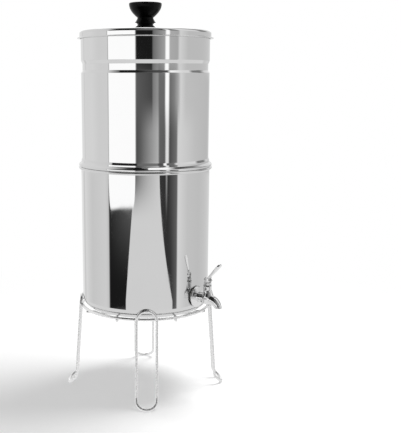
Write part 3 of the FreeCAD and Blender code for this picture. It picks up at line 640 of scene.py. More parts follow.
def drill(piece, radius, depth, place, along=(0, 0, 1)):
    """Cut a round hole with its middle at a place."""
    start_fresh()
    turn = Vector(along).to_track_quat("Z", "Y").to_euler()
    bpy.ops.mesh.primitive_cylinder_add(
        vertices=64, radius=radius, depth=depth, location=place, rotation=turn
    )
    cutter = bpy.context.object
    apply_modifier(piece, "BOOLEAN", operation="DIFFERENCE", solver="EXACT", object=cutter)
    bpy.data.objects.remove(cutter)


def start_wire(place, heading, radius, sides=20):
    """Begin a wire with a ring of vertices across its heading, in edit mode."""
    start_fresh()
    turn = Vector(heading).to_track_quat("Z", "Y").to_euler()
    bpy.ops.mesh.primitive_circle_add(vertices=sides, radius=radius, location=place, rotation=turn)
    piece = bpy.context.object
    edit_all(piece)
    return piece


def run_on(vector):
    """Carry the wire's end straight on."""
    bpy.ops.mesh.extrude_region_move(TRANSFORM_OT_translate={"value": tuple(vector)})


def bend_on(centre, axis, angle, step=ARC_STEP):
    """Carry the wire's end round a centre by a right-handed angle; spin itself turns the other way."""
    steps = max(3, math.ceil(abs(angle) / step))
    bpy.ops.mesh.spin(steps=steps, angle=-angle, center=tuple(centre), axis=tuple(axis))


def end_wire(piece, capped):
    """Close a wire, either on itself or with a flat cap at each end, and bake its place."""
    if capped:
        bpy.ops.mesh.select_all(action="DESELECT")
        bpy.ops.mesh.select_non_manifold()
        bpy.ops.mesh.edge_face_add()
    close_up(piece)


def turn_about_axis(piece, angle):
    """Turn a piece about the vessels' axis and bake it."""
    piece.rotation_euler = (0, 0, angle)
    bake_place(piece)


class WATERFILTER_OT_lower_vessel(bpy.types.Operator):
    """Model the lower vessel: floor, knuckle, tapered wall and rolled rim"""

    bl_idname = "water_filter.lower_vessel"
    bl_label = "Lower vessel"

    def execute(self, context):
        size = sizes("vessels")
        curl_z = LOWER_TOP - size.curl
        inner_top = size.lower_r_top - size.sheet
        points = rounded([
            (0, VESSEL_FOOT + size.sheet, 0),
            (size.lower_r_foot - size.sheet, VESSEL_FOOT + size.sheet, size.lower_knuckle - size.sheet),
            (inner_top, curl_z, 0),
        ])
        # The rim rolls outward and down, between angles in degrees with 0 facing outward
        curl_first, curl_last = 180, -100
        points += arc((inner_top + size.curl, curl_z), size.curl, curl_first, curl_last, steps=22)[1:]
        piece = turned_piece(points, size.sides)
        face_side(piece, outward=False)
        thicken(piece, size.sheet)
        cut_depth = 20 * MM
        drill(piece, size.tap_hole, cut_depth, (0, -size.lower_r_foot, TAP_Z), (0, 1, 0))
        smooth_faces(piece)
        finish_piece(piece, "lower_vessel_shell", "polished_steel", "lower_vessel", "lower_chamber")
        return {"FINISHED"}


class WATERFILTER_OT_upper_vessel(bpy.types.Operator):
    """Model the upper vessel: spigot, seat bead, wall with its groove and plain edge"""

    bl_idname = "water_filter.upper_vessel"
    bl_label = "Upper vessel"

    def execute(self, context):
        size = sizes("vessels")
        slope = (size.upper_r_top - size.upper_r_foot) / (UPPER_TOP - LOWER_TOP - size.bead_h)

        def wall(z):
            return size.upper_r_foot + slope * (z - LOWER_TOP - size.bead_h)

        groove = LOWER_TOP + size.groove_rise
        floor_low = groove + size.groove_foot
        floor_high = floor_low + size.groove_flat
        seat_bend = 1.0 * MM
        bead_bend = 2.0 * MM
        band_bend = 1.0 * MM
        groove_bend = 2.0 * MM
        points = rounded([
            (0, UPPER_FOOT, 0),
            (size.spigot_r, UPPER_FOOT, size.upper_knuckle),
            (size.spigot_r, LOWER_TOP, seat_bend),
            (size.bead_r, LOWER_TOP, bead_bend),
            (size.bead_r, LOWER_TOP + size.bead_flat, bead_bend),
            (size.band_r, LOWER_TOP + size.band_low, band_bend),
            (size.band_r, LOWER_TOP + size.band_high, band_bend),
            (wall(LOWER_TOP + size.bead_h), LOWER_TOP + size.bead_h, band_bend),
            (wall(groove), groove, band_bend),
            (wall(floor_low) - size.groove_depth, floor_low, band_bend),
            (wall(floor_high) - size.groove_depth, floor_high, groove_bend),
            (wall(floor_high + size.groove_slope), floor_high + size.groove_slope, groove_bend),
            (size.upper_r_top, UPPER_TOP, 0),
        ])
        piece = turned_piece(points, size.sides)
        face_side(piece, outward=True)
        thicken(piece, size.sheet)
        cut_depth = 10 * MM
        for node in ("element_cap", "plug_1", "plug_2"):
            place = middle_of(node)
            drill(piece, size.outlet_hole, cut_depth, (place.x, place.y, UPPER_FOOT))
        smooth_faces(piece)
        finish_piece(piece, "upper_vessel_shell", "polished_steel", "upper_vessel", "upper_chamber")
        return {"FINISHED"}


class WATERFILTER_OT_lid(bpy.types.Operator):
    """Model the lid: a low dome, flat seat, skirt and folded hem"""

    bl_idname = "water_filter.lid"
    bl_label = "Lid"

    def execute(self, context):
        size = sizes("lid")
        corner_z = LID_FOOT + size.skirt_h
        fold = size.hem_h / 2
        seat_r = size.skirt_r - size.corner - size.seat
        pad_bend = 30 * MM
        seat_bend = 8 * MM
        hem_bend = 0.5 * MM
        points = rounded([
            (size.screw_hole, LID_TOP, 0),
            (size.pad_r, LID_TOP, pad_bend),
            (seat_r, corner_z, seat_bend),
            (size.skirt_r, corner_z, size.corner),
            (size.skirt_r, LID_FOOT + size.hem_h, hem_bend),
            (size.hem_r - fold, LID_FOOT + size.hem_h, 0),
        ])
        points += arc((size.hem_r - fold, LID_FOOT + fold), fold, 90, -90, steps=10)[1:]
        points += [Vector((size.skirt_r - sizes("vessels").sheet, LID_FOOT))]
        piece = turned_piece(points, sizes("vessels").sides)
        face_side(piece, outward=True)
        thicken(piece, sizes("vessels").sheet)
        smooth_faces(piece)
        finish_piece(piece, "lid_shell", "polished_steel", "lid", "lid_cover")
        return {"FINISHED"}


class WATERFILTER_OT_knob(bpy.types.Operator):
    """Model the knob: flared foot, neck, bowl and slightly dished top"""

    bl_idname = "water_filter.knob"
    bl_label = "Knob"

    def execute(self, context):
        size = sizes("lid")
        edge = 2.2 * MM
        dish = 0.6 * MM
        shoulder = KNOB_TOP - edge
        neck_z = LID_TOP + size.neck_h
        bowl_r = size.knob_r - size.neck_r
        bowl_h = shoulder - neck_z
        flare_r = size.base_r - size.neck_r
        base_h = 1.2 * MM
        base_edge = 0.3 * MM
        flare_h = size.neck_h - base_h
        dish_r = size.knob_r - 4 * edge
        bowl_steps = 24
        flare_steps = 12
        points = [Vector((0, KNOB_TOP - dish)), Vector((dish_r, KNOB_TOP - dish))]
        points += arc((size.knob_r - edge, shoulder), edge, 100, 0, steps=8)
        # The bowl narrows as a parabola, and the foot flares out again
        for i in range(1, bowl_steps + 1):
            share = i / bowl_steps
            points.append(Vector((size.neck_r + bowl_r * (1 - share ** 2), shoulder - bowl_h * share)))
        for i in range(1, flare_steps + 1):
            share = i / flare_steps
            points.append(Vector((size.neck_r + flare_r * share ** 1.5, neck_z - flare_h * share)))
        points += [Vector((size.base_r, LID_TOP + base_edge)), Vector((size.base_r - base_edge, LID_TOP))]
        points += [Vector((size.insert_r, LID_TOP)), Vector((size.insert_r, LID_TOP + size.insert_h))]
        points += [Vector((0, LID_TOP + size.insert_h))]
        piece = turned_piece(points, 128)
        smooth_faces(piece, 40)
        finish_piece(piece, "knob_bowl", "black_gloss_plastic", "lid", "knob")
        return {"FINISHED"}


class WATERFILTER_OT_stand_ring(bpy.types.Operator):
    """Bend the ring that the lower vessel stands in"""

    bl_idname = "water_filter.stand_ring"
    bl_label = "Stand ring"

    def execute(self, context):
        size = sizes("stand")
        piece = start_wire((size.ring_r, 0, RING_Z), (0, 1, 0), size.wire / 2)
        bend_on((0, 0, RING_Z), (0, 0, 1), 2 * math.pi, step=math.radians(2.5))
        end_wire(piece, capped=False)
        turn_about_axis(piece, size.turn)
        smooth_faces(piece)
        finish_piece(piece, "ring_wire", "bright_wire", "stand", "stand_ring")
        return {"FINISHED"}


class WATERFILTER_OT_stand_rods(bpy.types.Operator):
    """Lay the two straight rods and the two cranked rods under the ring"""

    bl_idname = "water_filter.stand_rods"
    bl_label = "Stand rods"

    def straight_rod(self, size, place, half, z):
        piece = start_wire((place, -half, z), (0, 1, 0), size.wire / 2)
        run_on((0, 2 * half, 0))
        end_wire(piece, capped=True)
        return piece

    def cranked_rod(self, size, place, half, z):
        """The rod runs along X, dips under the straight rods and comes up again at its other end."""
        drop = size.wire - size.weld
        lean = math.atan2(drop, size.crank_run / 2)
        reach = size.crank_r * math.tan(lean / 2)
        slant = drop / math.sin(lean) - 2 * reach
        low_run = 2 * (half - 1.5 * size.crank_run - reach)
        heading = Vector((1, 0, 0))
        here = Vector((-half, place, z))
        piece = start_wire(here, heading, size.wire / 2)
        for run, turn in ((size.crank_run - reach, lean), (slant, -lean), (low_run, -lean), (slant, lean)):
            run_on(heading * run)
            here = here + heading * run
            inward = Matrix.Rotation(math.copysign(math.pi / 2, turn), 3, "Y") @ heading
            centre = here + inward * size.crank_r
            bend_on(centre, (0, 1, 0), turn)
            swing = Matrix.Rotation(turn, 3, "Y")
            here = centre + swing @ (here - centre)
            heading = swing @ heading
        run_on(heading * (half - here.x))
        end_wire(piece, capped=True)
        return piece

    def execute(self, context):
        size = sizes("stand")
        half = math.sqrt(size.ring_r ** 2 - size.rod_offset ** 2) + size.rod_overhang
        z = high_of("stand_rod_upper_left").z - size.wire / 2
        end_round = 0.5 * MM
        for side, place in (("left", -size.rod_offset), ("right", size.rod_offset)):
            upper = self.straight_rod(size, place, half, z)
            lower = self.cranked_rod(size, place, half, z)
            for level, piece in (("upper", upper), ("lower", lower)):
                apply_modifier(piece, "BEVEL", width=end_round, segments=3, limit_method="ANGLE")
                turn_about_axis(piece, size.turn)
                smooth_faces(piece)
                node = "stand_rod_%s_%s" % (level, side)
                finish_piece(piece, "%s_rod_%s" % (level, side), "bright_wire", "stand", node)
        return {"FINISHED"}


class WATERFILTER_OT_stand_legs(bpy.types.Operator):
    """Bend one closed leg loop and copy it round the ring"""

    bl_idname = "water_filter.stand_legs"
    bl_label = "Stand legs"

    def execute(self, context):
        size = sizes("stand")
        bow = size.leg_w / 2
        down = Vector((0, -math.sin(size.lean), -math.cos(size.lean)))
        foot_down = Vector((0, -math.sin(size.foot_lean), -math.cos(size.foot_lean)))
        across = Vector((bow, 0, 0))

        def on_leg(z):
            out = size.ring_r + size.leg_set + (RING_Z - z) * math.tan(size.lean)
            return Vector((0, -out, z))

        bend = size.foot_lean - size.lean
        reach = size.foot_bend * math.tan(bend / 2)
        arch_start = on_leg(LEG_TOP - size.wire / 2) + down * bow
        heel_z = size.wire / 2 + (bow + reach) * math.cos(size.foot_lean)
        heel_in = on_leg(heel_z) - down * reach
        heel_out = on_leg(heel_z) + foot_down * reach
        outward = Vector((0, -math.cos(size.lean), math.sin(size.lean)))
        heel_centre = heel_in + outward * size.foot_bend
        piece = start_wire(arch_start - across, -down, size.wire / 2)
        bend_on(arch_start, Vector((1, 0, 0)).cross(down), math.pi)
        run_on(heel_in - arch_start)
        bend_on(heel_centre + across, (1, 0, 0), -bend)
        bend_on(heel_out, Vector((1, 0, 0)).cross(foot_down), math.pi)
        bend_on(heel_centre - across, (1, 0, 0), bend)
        run_on(arch_start - heel_in)
        end_wire(piece, capped=False)
        legs = [piece]
        for _ in range(1, LEGS):
            take_up(piece)
            bpy.ops.object.duplicate()
            legs.append(bpy.context.object)
        for number, leg in enumerate(legs, 1):
            turn_about_axis(leg, size.turn + (number - 1) * 2 * math.pi / LEGS)
            smooth_faces(leg)
            finish_piece(leg, "leg_loop_%d" % number, "bright_wire", "stand", "stand_leg_%d" % number)
        return {"FINISHED"}


class WATERFILTER_OT_stand_welds(bpy.types.Operator):
    """Squeeze a weld nugget into every joint of the stand"""

    bl_idname = "water_filter.stand_welds"
    bl_label = "Stand welds"

    def nugget(self, place, stretch, heading, seed):
        """A lumpy bead that fills the valley between two wires, longer along its heading."""
        bead_r = 1.5 * MM
        lump_h = 0.18 * MM
        start_fresh()
        turn = Vector(heading).to_track_quat("X", "Z").to_euler()
        bpy.ops.mesh.primitive_uv_sphere_add(
            segments=20, ring_count=12, radius=bead_r, location=place, rotation=turn, scale=(stretch, 1, 0.8)
        )
        piece = bpy.context.object
        edit_all(piece)
        bpy.ops.transform.vertex_random(offset=lump_h, seed=seed)
        bpy.ops.mesh.vertices_smooth(factor=0.5, repeat=1)
        bake_place(piece)
        return piece

    def execute(self, context):
        size = sizes("stand")
        wire_r = size.wire / 2
        # Each bead's stretch, and its place in the valley as a share of the wire's radius
        leg_stretch, leg_out, leg_up = 1.25, 0.7, 0.72
        rod_stretch, rod_down = 1.7, 0.85
        joints = []
        for number in range(LEGS):
            turn = size.turn + number * 2 * math.pi / LEGS
            outward = Vector((math.sin(turn), -math.cos(turn), 0))
            aside = Vector((math.cos(turn), math.sin(turn), 0))
            for side in (-1, 1):
                offset = size.leg_w / 2
                reach = math.sqrt(size.ring_r ** 2 - offset ** 2)
                for above in (-1, 1):
                    place = outward * (reach + wire_r * leg_out) + aside * side * offset
                    place.z = RING_Z + above * wire_r * leg_up
                    joints.append((place, leg_stretch, Vector((0, 0, 1))))
                offset = size.rod_offset
                reach = math.sqrt(size.ring_r ** 2 - offset ** 2)
                place = outward * reach + aside * side * offset
                place.z = RING_Z - wire_r * rod_down
                joints.append((place, rod_stretch, outward))
        piece = joined([self.nugget(*joint, seed) for seed, joint in enumerate(joints)])
        smooth_faces(piece, 60)
        finish_piece(piece, "weld_nuggets", "bright_wire", "stand", finish="weld")
        return {"FINISHED"}


class WATERFILTER_OT_tap_casting(bpy.types.Operator):
    """Model the tap's casting: shank, bell collar, horn, boss and ball, flowed together"""

    bl_idname = "water_filter.tap_casting"
    bl_label = "Tap casting"

    def collar_and_shank(self, size):
        """Turned upright, then laid along the tap's axis with the shank into the vessel."""
        shank_l = SHANK_END - COLLAR_BACK
        shank_edge = 0.8 * MM
        lip_h = 2.2 * MM
        lip_bend = 1.2 * MM
        inner_bend = 0.6 * MM
        bell_r = size.horn_r + 2.0 * MM
        points = [Vector((0, -shank_l)), Vector((size.shank_r - shank_edge, -shank_l))]
        points += [Vector((size.shank_r, -shank_l + shank_edge)), Vector((size.shank_r, 0))]
        points += rounded([
            (size.shank_r, 0, 0),
            (size.collar_r, 0, inner_bend),
            (size.collar_r, lip_h, lip_bend),
            (bell_r, size.collar_l, inner_bend),
            (0, size.collar_l, 0),
        ])[1:]
        piece = turned_piece(points, 96)
        piece.rotation_euler = (math.pi / 2, 0, 0)
        piece.location = (0, COLLAR_BACK, TAP_Z)
        bake_place(piece)
        return piece

    def horn(self, size):
        """Level from the collar, then bent down in small steps while it narrows, with a level mouth."""
        drop = TAP_Z - MOUTH.z
        bend_y = MOUTH.y + size.spout_bend * math.sin(math.acos(1 - drop / size.spout_bend))
        centre = Vector((0, bend_y, TAP_Z - size.spout_bend))
        collar_gap = 2 * MM
        piece = start_wire((0, COLLAR_BACK - collar_gap, TAP_Z), (0, -1, 0), size.horn_r, sides=64)
        run_on((0, bend_y - COLLAR_BACK + collar_gap, 0))
        steps = 18
        radius = size.horn_r
        for i in range(1, steps + 1):
            bend_on(centre, (1, 0, 0), math.radians(90 / steps), math.radians(90))
            turn = math.radians(90 * i / steps)
            next_radius = size.horn_r + (size.spout_r - size.horn_r) * i / steps
            ratio = next_radius / radius
            here = centre + Vector((0, -math.sin(turn), math.cos(turn))) * size.spout_bend
            bpy.ops.transform.resize(value=(ratio, ratio, ratio), center_override=tuple(here))
            radius = next_radius
        end_wire(piece, capped=True)
        return piece

    def execute(self, context):
        size = sizes("tap")
        parts = [self.collar_and_shank(size), self.horn(size)]
        boss_edge = 0.5 * MM
        boss = rounded([
            (0, TAP_Z, 0), (size.boss_r, TAP_Z, 0), (size.boss_r, BOSS_TOP, boss_edge), (0, BOSS_TOP, 0),
        ])
        parts.append(turned_piece(boss, 64, (0, VALVE_Y)))
        ball = arc((0, TAP_Z), size.ball_r, -90, 90, steps=24)
        parts.append(turned_piece(ball, 64, (0, VALVE_Y)))
        # The boss flares forward into the horn, through these radii and heights in millimetres
        flare_forward = 1.5 * MM
        flare = [(0, 0), (10.4, 0), (10.4, 4), (9.6, 7.5), (8.2, 11), (7.4, 15), (0, 15)]
        points = [Vector((radius * MM, TAP_Z + height * MM)) for radius, height in flare]
        parts.append(turned_piece(points, 64, (0, VALVE_Y - flare_forward)))
        piece = joined(parts)
        apply_modifier(piece, "REMESH", mode="VOXEL", voxel_size=size.grain)
        apply_modifier(piece, "SMOOTH", factor=0.5, iterations=14)
        # The mouth is cut level, then bored upward by half of the second cut
        level_cut = 20 * MM
        bore_cut = 10 * MM
        drill(piece, 2 * size.spout_r, level_cut, MOUTH - Vector((0, 0, level_cut / 2)))
        drill(piece, size.mouth_r, bore_cut, MOUTH)
        seat_z = low_of("tap_seat_cup").z
        drill(piece, size.room_r, 2 * (BOSS_TOP - seat_z), (0, VALVE_Y, BOSS_TOP))
        inlet_r = 3.0 * MM
        inlet_rise = 4.1 * MM
        drill(piece, inlet_r, 2 * (SHANK_END - VALVE_Y), (0, SHANK_END, TAP_Z + inlet_rise), (0, 1, 0))
        smooth_faces(piece, 50)
        finish_piece(piece, "tap_casting", "cast_steel", "lower_vessel", "tap_body")
        return {"FINISHED"}


class WATERFILTER_OT_tap_bonnet(bpy.types.Operator):
    """Model the bonnet: a screwed cap with a waist line and a guide bore"""

    bl_idname = "water_filter.tap_bonnet"
    bl_label = "Tap bonnet"

    def execute(self, context):
        size = sizes("tap")
        line_z = BONNET_FOOT + 1.6 * MM
        spigot_z = low_of("tap_bonnet").z
        roof_z = BONNET_TOP - 3.0 * MM
        spring_r = 3.8 * MM
        guide_r = 2.08 * MM
        line_half = 0.5 * MM
        line_depth = 0.45 * MM
        edge = 0.15 * MM
        points = rounded([
            (spring_r, spigot_z, 0),
            (size.room_r, spigot_z, 0),
            (size.room_r, BONNET_FOOT, 0),
            (size.bonnet_r, BONNET_FOOT, 0.3 * MM),
            (size.bonnet_r, line_z - line_half, edge),
            (size.bonnet_r - line_depth, line_z, 0.2 * MM),
            (size.bonnet_r, line_z + line_half, edge),
            (size.bonnet_r, BONNET_TOP, 1.0 * MM),
            (guide_r, BONNET_TOP, edge),
            (guide_r, roof_z, 0),
            (spring_r, roof_z, 0),
            (spring_r, spigot_z, 0),
        ])
        piece = turned_piece(points, 96, (0, VALVE_Y))
        smooth_faces(piece)
        finish_piece(piece, "bonnet_cap", "cast_steel", "lower_vessel", "tap_bonnet")
        return {"FINISHED"}


class WATERFILTER_OT_fine_nodes(bpy.types.Operator):
    """Give the lever and the inner fittings smooth copies, and every node that stays its finish"""

    bl_idname = "water_filter.fine_nodes"
    bl_label = "Lever and fittings"

    def raise_paddle(self, copy):
        """Bend the lever's arm upward just outside its head, as in the photograph."""
        size = sizes("tap")
        pin = middle_of("tap_lever_pin")
        bpy.ops.object.mode_set(mode="OBJECT")
        for part in list(copy.data.edges) + list(copy.data.polygons):
            part.select = False
        for vertex in copy.data.vertices:
            vertex.select = (vertex.co - pin).length > size.arm_bend_at
        bpy.ops.object.mode_set(mode="EDIT")
        bpy.ops.mesh.select_mode(type="VERT")
        bpy.ops.transform.rotate(value=size.arm_bend, orient_axis="X", center_override=tuple(pin))

    def execute(self, context):
        slots = {part["node"]: part["material_slot"] for part in frame["record"]["subparts"]}
        bodies = frame["record"]["behaviour"]["bodies"]
        body_of = {node: body for body, nodes in bodies.items() for node in nodes}
        modelled = ["lower_chamber", "upper_chamber", "lid_cover", "knob", "tap_body", "tap_bonnet"]
        for node, slot in slots.items():
            source = frame["nodes"][node]
            source.data.materials.clear()
            source.data.materials.append(finish_for(slot))
            if node in modelled or node.startswith("stand_") or node == "tap_spring":
                continue
            start_fresh()
            copy = bpy.data.objects.new(node + "_piece", source.data.copy())
            context.scene.collection.objects.link(copy)
            edit_all(copy)
            bpy.ops.mesh.remove_doubles(threshold=CAD_MERGE)
            if node == "tap_lever":
                self.raise_paddle(copy)
            smooth_faces(copy)
            finish_piece(copy, node + "_piece", slot, body_of[node], node)
        return {"FINISHED"}


class WATERFILTER_OT_stage(bpy.types.Operator):
    """Set the white floor, the soft light, the studio round the filter and the camera"""

    bl_idname = "water_filter.stage"
    bl_label = "Stage"

    view_turn: angle_deg("View turn", "Camera's side, from the tap's", -51)
    view_distance: length_mm("View distance", "Level distance from the vessels' axis", 1518.7)
    view_height: length_mm("View height", "Above the floor", 580.7)
    view_pitch: angle_deg("View pitch", "Downward", 7.14)
    view_lens: FloatProperty(name="Lens", description="Focal length in millimetres", default=68.45)
    view_shift: FloatVectorProperty(
        name="Shift", description="Camera's shift across and up", default=(0.1273, -0.0865), size=2
    )
    lamp_place: FloatVectorProperty(
        name="Lamp", description="Middle of the overhead softbox", default=(0.61, -0.28, 1.9), subtype="XYZ"
    )
    lamp_width: length_mm("Lamp width", "Diameter of the overhead softbox", 900.0)
    lamp_power: FloatProperty(name="Lamp power", description="In watts", default=26.0)

    def camera(self):
        place = (
            self.view_distance * math.sin(self.view_turn),
            -self.view_distance * math.cos(self.view_turn),
            self.view_height,
        )
        bpy.ops.object.camera_add(location=place, rotation=(math.pi / 2 - self.view_pitch, 0, self.view_turn))
        camera = bpy.context.object
        camera.name = "view"
        camera.data.lens = self.view_lens
        camera.data.shift_x, camera.data.shift_y = self.view_shift
        bpy.context.scene.camera = camera

    def floor(self):
        """A white floor that keeps the shadow near the filter and goes to plain white further out."""
        floor_r = 6.0
        shadow_r, white_r = 0.42, 0.95
        glow = 0.19
        start_fresh()
        bpy.ops.mesh.primitive_circle_add(vertices=96, radius=floor_r, fill_type="NGON", location=(0, 0, 0))
        floor = bpy.context.object
        floor.name = "floor"
        material = bpy.data.materials.new("white_paper_sweep")
        tree = emptied(material)
        place = add_node(tree, "ShaderNodeTexCoord").outputs["Object"]
        out = add_node(tree, "ShaderNodeVectorMath", {0: place}, operation="LENGTH").outputs["Value"]
        paper = add_node(tree, "ShaderNodeBsdfDiffuse", {"Color": grey(238)}).outputs["BSDF"]
        lift = glowing(tree, "ShaderNodeEmission", WHITE, glow)
        lifted = add_node(tree, "ShaderNodeAddShader", {0: paper, 1: lift}).outputs["Shader"]
        white = glowing(tree, "ShaderNodeEmission", WHITE, 1.0)
        seen = either(tree, eased(tree, out, shadow_r, white_r), lifted, white)
        rays = add_node(tree, "ShaderNodeLightPath")
        shown = either(tree, rays.outputs["Is Camera Ray"], paper, seen)
        add_node(tree, "ShaderNodeOutputMaterial", {"Surface": shown})
        floor.data.materials.append(material)
        floor.visible_glossy = False

    def lamp(self):
        """One broad soft lamp overhead, which only the shadows and the matt pieces show."""
        aim = Vector((0, 0, 0.2))
        bpy.ops.object.light_add(type="AREA", location=self.lamp_place)
        lamp = bpy.context.object
        lamp.name = "overhead_softbox"
        lamp.data.shape = "DISK"
        lamp.data.size = self.lamp_width
        lamp.data.energy = self.lamp_power
        lamp.visible_glossy = False
        lamp.visible_camera = False
        lamp.rotation_euler = (Vector(lamp.location) - aim).to_track_quat("Z", "Y").to_euler()

    def studio(self):
        """The surroundings that the polished steel shows: softboxes, dark screens and a pale floor lane."""
        world = bpy.data.worlds.new("white_studio")
        bpy.context.scene.world = world
        tree = emptied(world)

        def math_node(operation, first, second=0.0, third=0.0):
            node = add_node(tree, "ShaderNodeMath", {0: first, 1: second, 2: third}, operation=operation)
            return node.outputs["Value"]

        def along(direction):
            node = add_node(tree, "ShaderNodeVectorMath", {0: way, 1: direction}, operation="DOT_PRODUCT")
            return node.outputs["Value"]

        def ramp(stops):
            """Greys round the filter, from (degrees to the right of the view, level) stops."""
            node = add_node(tree, "ShaderNodeValToRGB", {"Fac": round_place})
            elements = node.color_ramp.elements
            while len(elements) > 1:
                elements.remove(elements[0])
            for index, (degrees, level) in enumerate(stops):
                place = (degrees + 180) / 360
                stop = elements[0] if index == 0 else elements.new(place)
                stop.position = place
                stop.color = grey(level)
            return node.outputs["Color"]

        way = add_node(tree, "ShaderNodeTexCoord").outputs["Generated"]
        ahead = along((math.sin(self.view_turn), -math.cos(self.view_turn), 0))
        aside = along((math.cos(self.view_turn), math.sin(self.view_turn), 0))
        rise = add_node(tree, "ShaderNodeSeparateXYZ", {0: way}).outputs["Z"]
        turn = math_node("ARCTAN2", aside, ahead)
        turn_deg = math_node("MULTIPLY", turn, 180 / math.pi)
        round_place = math_node("MULTIPLY_ADD", turn, 1 / (2 * math.pi), 0.5)

        # Where each zone gives way to the next, as the rise of the direction in which it is seen
        waist_to_eye = (-0.085, -0.035)
        eye_to_lid = (-0.012, 0.006)
        lid_to_cornice = (0.07, 0.13)
        cornice_to_ceiling = (0.70, 0.86)
        screens_darken = (-0.13, -0.27)
        streak_starts = (-0.19, -0.125)
        lane_widens = (-0.12, -0.28)
        lane_pales = (-0.13, -0.19)
        softbox_foot = (-0.122, -0.116)
        screens_foot = (-0.285, -0.315)

        back = [
            (-180, 205), (-143, 210), (-141, 185), (-139, 208), (-110, 212), (-90, 205), (-70, 206),
            (-69, 150), (-67.5, 255), (-18, 255),
        ]
        under_lid = ramp(back + [
            (-16.5, 25), (12, 25), (13, 105), (34, 160), (36, 255), (41, 255), (43, 172), (58, 166),
            (62, 210), (80, 188), (120, 188), (150, 192), (180, 205),
        ])
        eye_level = ramp(back + [
            (-16.5, 90), (12, 70), (13, 122), (22, 148), (24, 105), (34, 105), (36, 255), (41, 255),
            (43, 105), (52, 128), (60, 168), (65, 212), (76, 192), (125, 186), (150, 178), (180, 205),
        ])
        waist = ramp(back + [
            (-16.5, 75), (-8, 94), (0, 120), (12, 152), (22.5, 176), (24.5, 98), (35, 92), (37, 225),
            (41, 225), (43, 72), (57.5, 112), (60, 212), (75, 205), (100, 192), (150, 178), (180, 205),
        ])
        upper = mixed(tree, eased(tree, rise, *waist_to_eye), waist, eye_level)
        upper = mixed(tree, eased(tree, rise, *eye_to_lid), upper, under_lid)

        # Low down the steel shows dark screens on the floor, with a bright streak on the right one
        low_left = [(-180, 212), (-150, 214), (-143, 190), (-136, 212), (-110, 198), (-75, 206), (-69, 196)]
        low_right = [(59.5, 214), (80, 195), (110, 190), (165, 200), (168, 175), (171, 206), (180, 212)]
        screens_high = ramp(low_left + [(-67, 40), (-17, 100), (24, 54), (40, 46), (57.5, 98)] + low_right)
        screens_low = ramp(low_left + [(-67, 24), (0, 30), (30, 50), (46, 50), (57.5, 92)] + low_right)
        screens = mixed(tree, eased(tree, rise, *screens_darken), screens_high, screens_low)
        streak = ramp([(35.5, 0), (37, 255), (38, 255), (39.5, 0)])
        streak = math_node("MULTIPLY", streak, eased(tree, rise, *streak_starts))
        screens = mixed(tree, streak, screens, grey(150))

        # A pale lane opens between the screens: both its edges, in degrees, and how far they move outward
        left_edge, left_move = -17.0, 18.4
        right_edge, right_move = 24.5, 25.5
        blur = 0.6
        depth = add_node(tree, "ShaderNodeMapRange", {
            "Value": rise, "From Min": lane_widens[0], "From Max": lane_widens[1],
        }).outputs["Result"]
        past_left = math_node("ADD", turn_deg, math_node("MULTIPLY_ADD", depth, left_move, -left_edge))
        lane_right = math_node("MULTIPLY_ADD", math_node("MULTIPLY", depth, depth), right_move, right_edge)
        before_right = math_node("SUBTRACT", lane_right, turn_deg)
        in_lane = math_node(
            "MULTIPLY", eased(tree, past_left, -blur, blur), eased(tree, before_right, -blur, blur)
        )
        lane = ramp([(-17, 105), (-6, 150), (4, 175), (24, 205)])
        lane = mixed(tree, eased(tree, rise, *lane_pales), lane, grey(207))
        low_zone = mixed(tree, in_lane, screens, lane)

        # The softbox ends lower than the rest, in a nearly square edge
        softbox_middle, softbox_half = -42.5, 25.5
        squareness = 22.0
        softbox_drop = 0.052
        across = math_node("MULTIPLY_ADD", turn, 180 / math.pi / softbox_half, -softbox_middle / softbox_half)
        rounding = math_node("POWER", math_node("ABSOLUTE", across), squareness)
        drop = math_node("MAXIMUM", math_node("SUBTRACT", 1.0, rounding), 0.0)
        edge = math_node("MULTIPLY_ADD", drop, softbox_drop, rise)
        around = mixed(tree, eased(tree, edge, *softbox_foot), low_zone, upper)
        around = mixed(tree, eased(tree, rise, *screens_foot), around, grey(210))

        top_left = [(-180, 250), (-170, 250), (-160, 210)]
        top_right = [(142, 205), (160, 210), (170, 250), (180, 250)]
        ceiling = ramp(top_left + [
            (-118, 206), (-100, 70), (-90, 25), (-20, 28), (0, 58), (58, 80), (66, 255), (104, 250),
            (112, 70), (132, 70),
        ] + top_right)
        cornice = ramp(top_left + [
            (-100, 206), (-68, 200), (-66, 32), (-18, 32), (-15, 100), (24, 115), (26, 78), (35, 80),
            (37, 250), (41, 250), (43, 92), (57, 108), (62, 210), (104, 215), (112, 120), (130, 120),
        ] + top_right)
        around = mixed(tree, eased(tree, rise, *lid_to_cornice), around, cornice)
        around = mixed(tree, eased(tree, rise, *cornice_to_ceiling), around, ceiling)

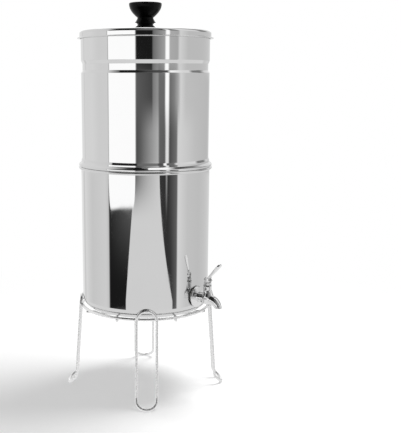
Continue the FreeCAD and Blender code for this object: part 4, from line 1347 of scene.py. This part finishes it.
        matt_light, mirror_light = 0.5, 1.36
        rays = add_node(tree, "ShaderNodeLightPath")
        shiny = math_node("MAXIMUM", rays.outputs["Is Glossy Ray"], rays.outputs["Is Transmission Ray"])
        plain = glowing(tree, "ShaderNodeBackground", WHITE, matt_light)
        mirrored = glowing(tree, "ShaderNodeBackground", around, mirror_light)
        backdrop = glowing(tree, "ShaderNodeBackground", WHITE, 1.0)
        lit = either(tree, shiny, plain, mirrored)
        shown = either(tree, rays.outputs["Is Camera Ray"], lit, backdrop)
        add_node(tree, "ShaderNodeOutputWorld", {"Surface": shown})

    def execute(self, context):
        context.scene.view_settings.view_transform = "Standard"
        self.camera()
        self.floor()
        self.lamp()
        self.studio()
        return {"FINISHED"}


class WATERFILTER_PT_pieces(bpy.types.Panel):
    """Lists the pieces and their sizes"""

    bl_idname = "WATERFILTER_PT_pieces"
    bl_label = "Water filter"
    bl_space_type = "VIEW_3D"
    bl_region_type = "UI"
    bl_category = "Water filter"

    def draw(self, context):
        for kind in OPERATORS:
            self.layout.operator(kind.bl_idname)
        for name in SIZE_GROUPS:
            box = self.layout.box()
            box.label(text=name.title())
            group = sizes(name)
            for key in group.__annotations__:
                box.prop(group, key)


SIZE_GROUPS = {
    "vessels": VesselSizes,
    "lid": LidSizes,
    "stand": StandSizes,
    "tap": TapSizes,
    "colours": FinishColours,
}
OPERATORS = (
    WATERFILTER_OT_lower_vessel,
    WATERFILTER_OT_upper_vessel,
    WATERFILTER_OT_lid,
    WATERFILTER_OT_knob,
    WATERFILTER_OT_stand_ring,
    WATERFILTER_OT_stand_rods,
    WATERFILTER_OT_stand_legs,
    WATERFILTER_OT_stand_welds,
    WATERFILTER_OT_tap_casting,
    WATERFILTER_OT_tap_bonnet,
    WATERFILTER_OT_fine_nodes,
    WATERFILTER_OT_stage,
)


def register():
    """Register the groups of sizes, the operators and the panel."""
    for name, group in SIZE_GROUPS.items():
        bpy.utils.register_class(group)
        setattr(bpy.types.Scene, "water_filter_" + name, PointerProperty(type=group))
    for kind in OPERATORS + (WATERFILTER_PT_pieces,):
        bpy.utils.register_class(kind)


def unregister():
    """Take away what register added."""
    for kind in reversed(OPERATORS + (WATERFILTER_PT_pieces,)):
        bpy.utils.unregister_class(kind)
    for name, group in SIZE_GROUPS.items():
        delattr(bpy.types.Scene, "water_filter_" + name)
        bpy.utils.unregister_class(group)


def main():
    """Make every piece in order."""
    register()
    for kind in OPERATORS:
        family, action = kind.bl_idname.split(".")
        getattr(getattr(bpy.ops, family), action)()


if __name__ == "__main__":
    main()
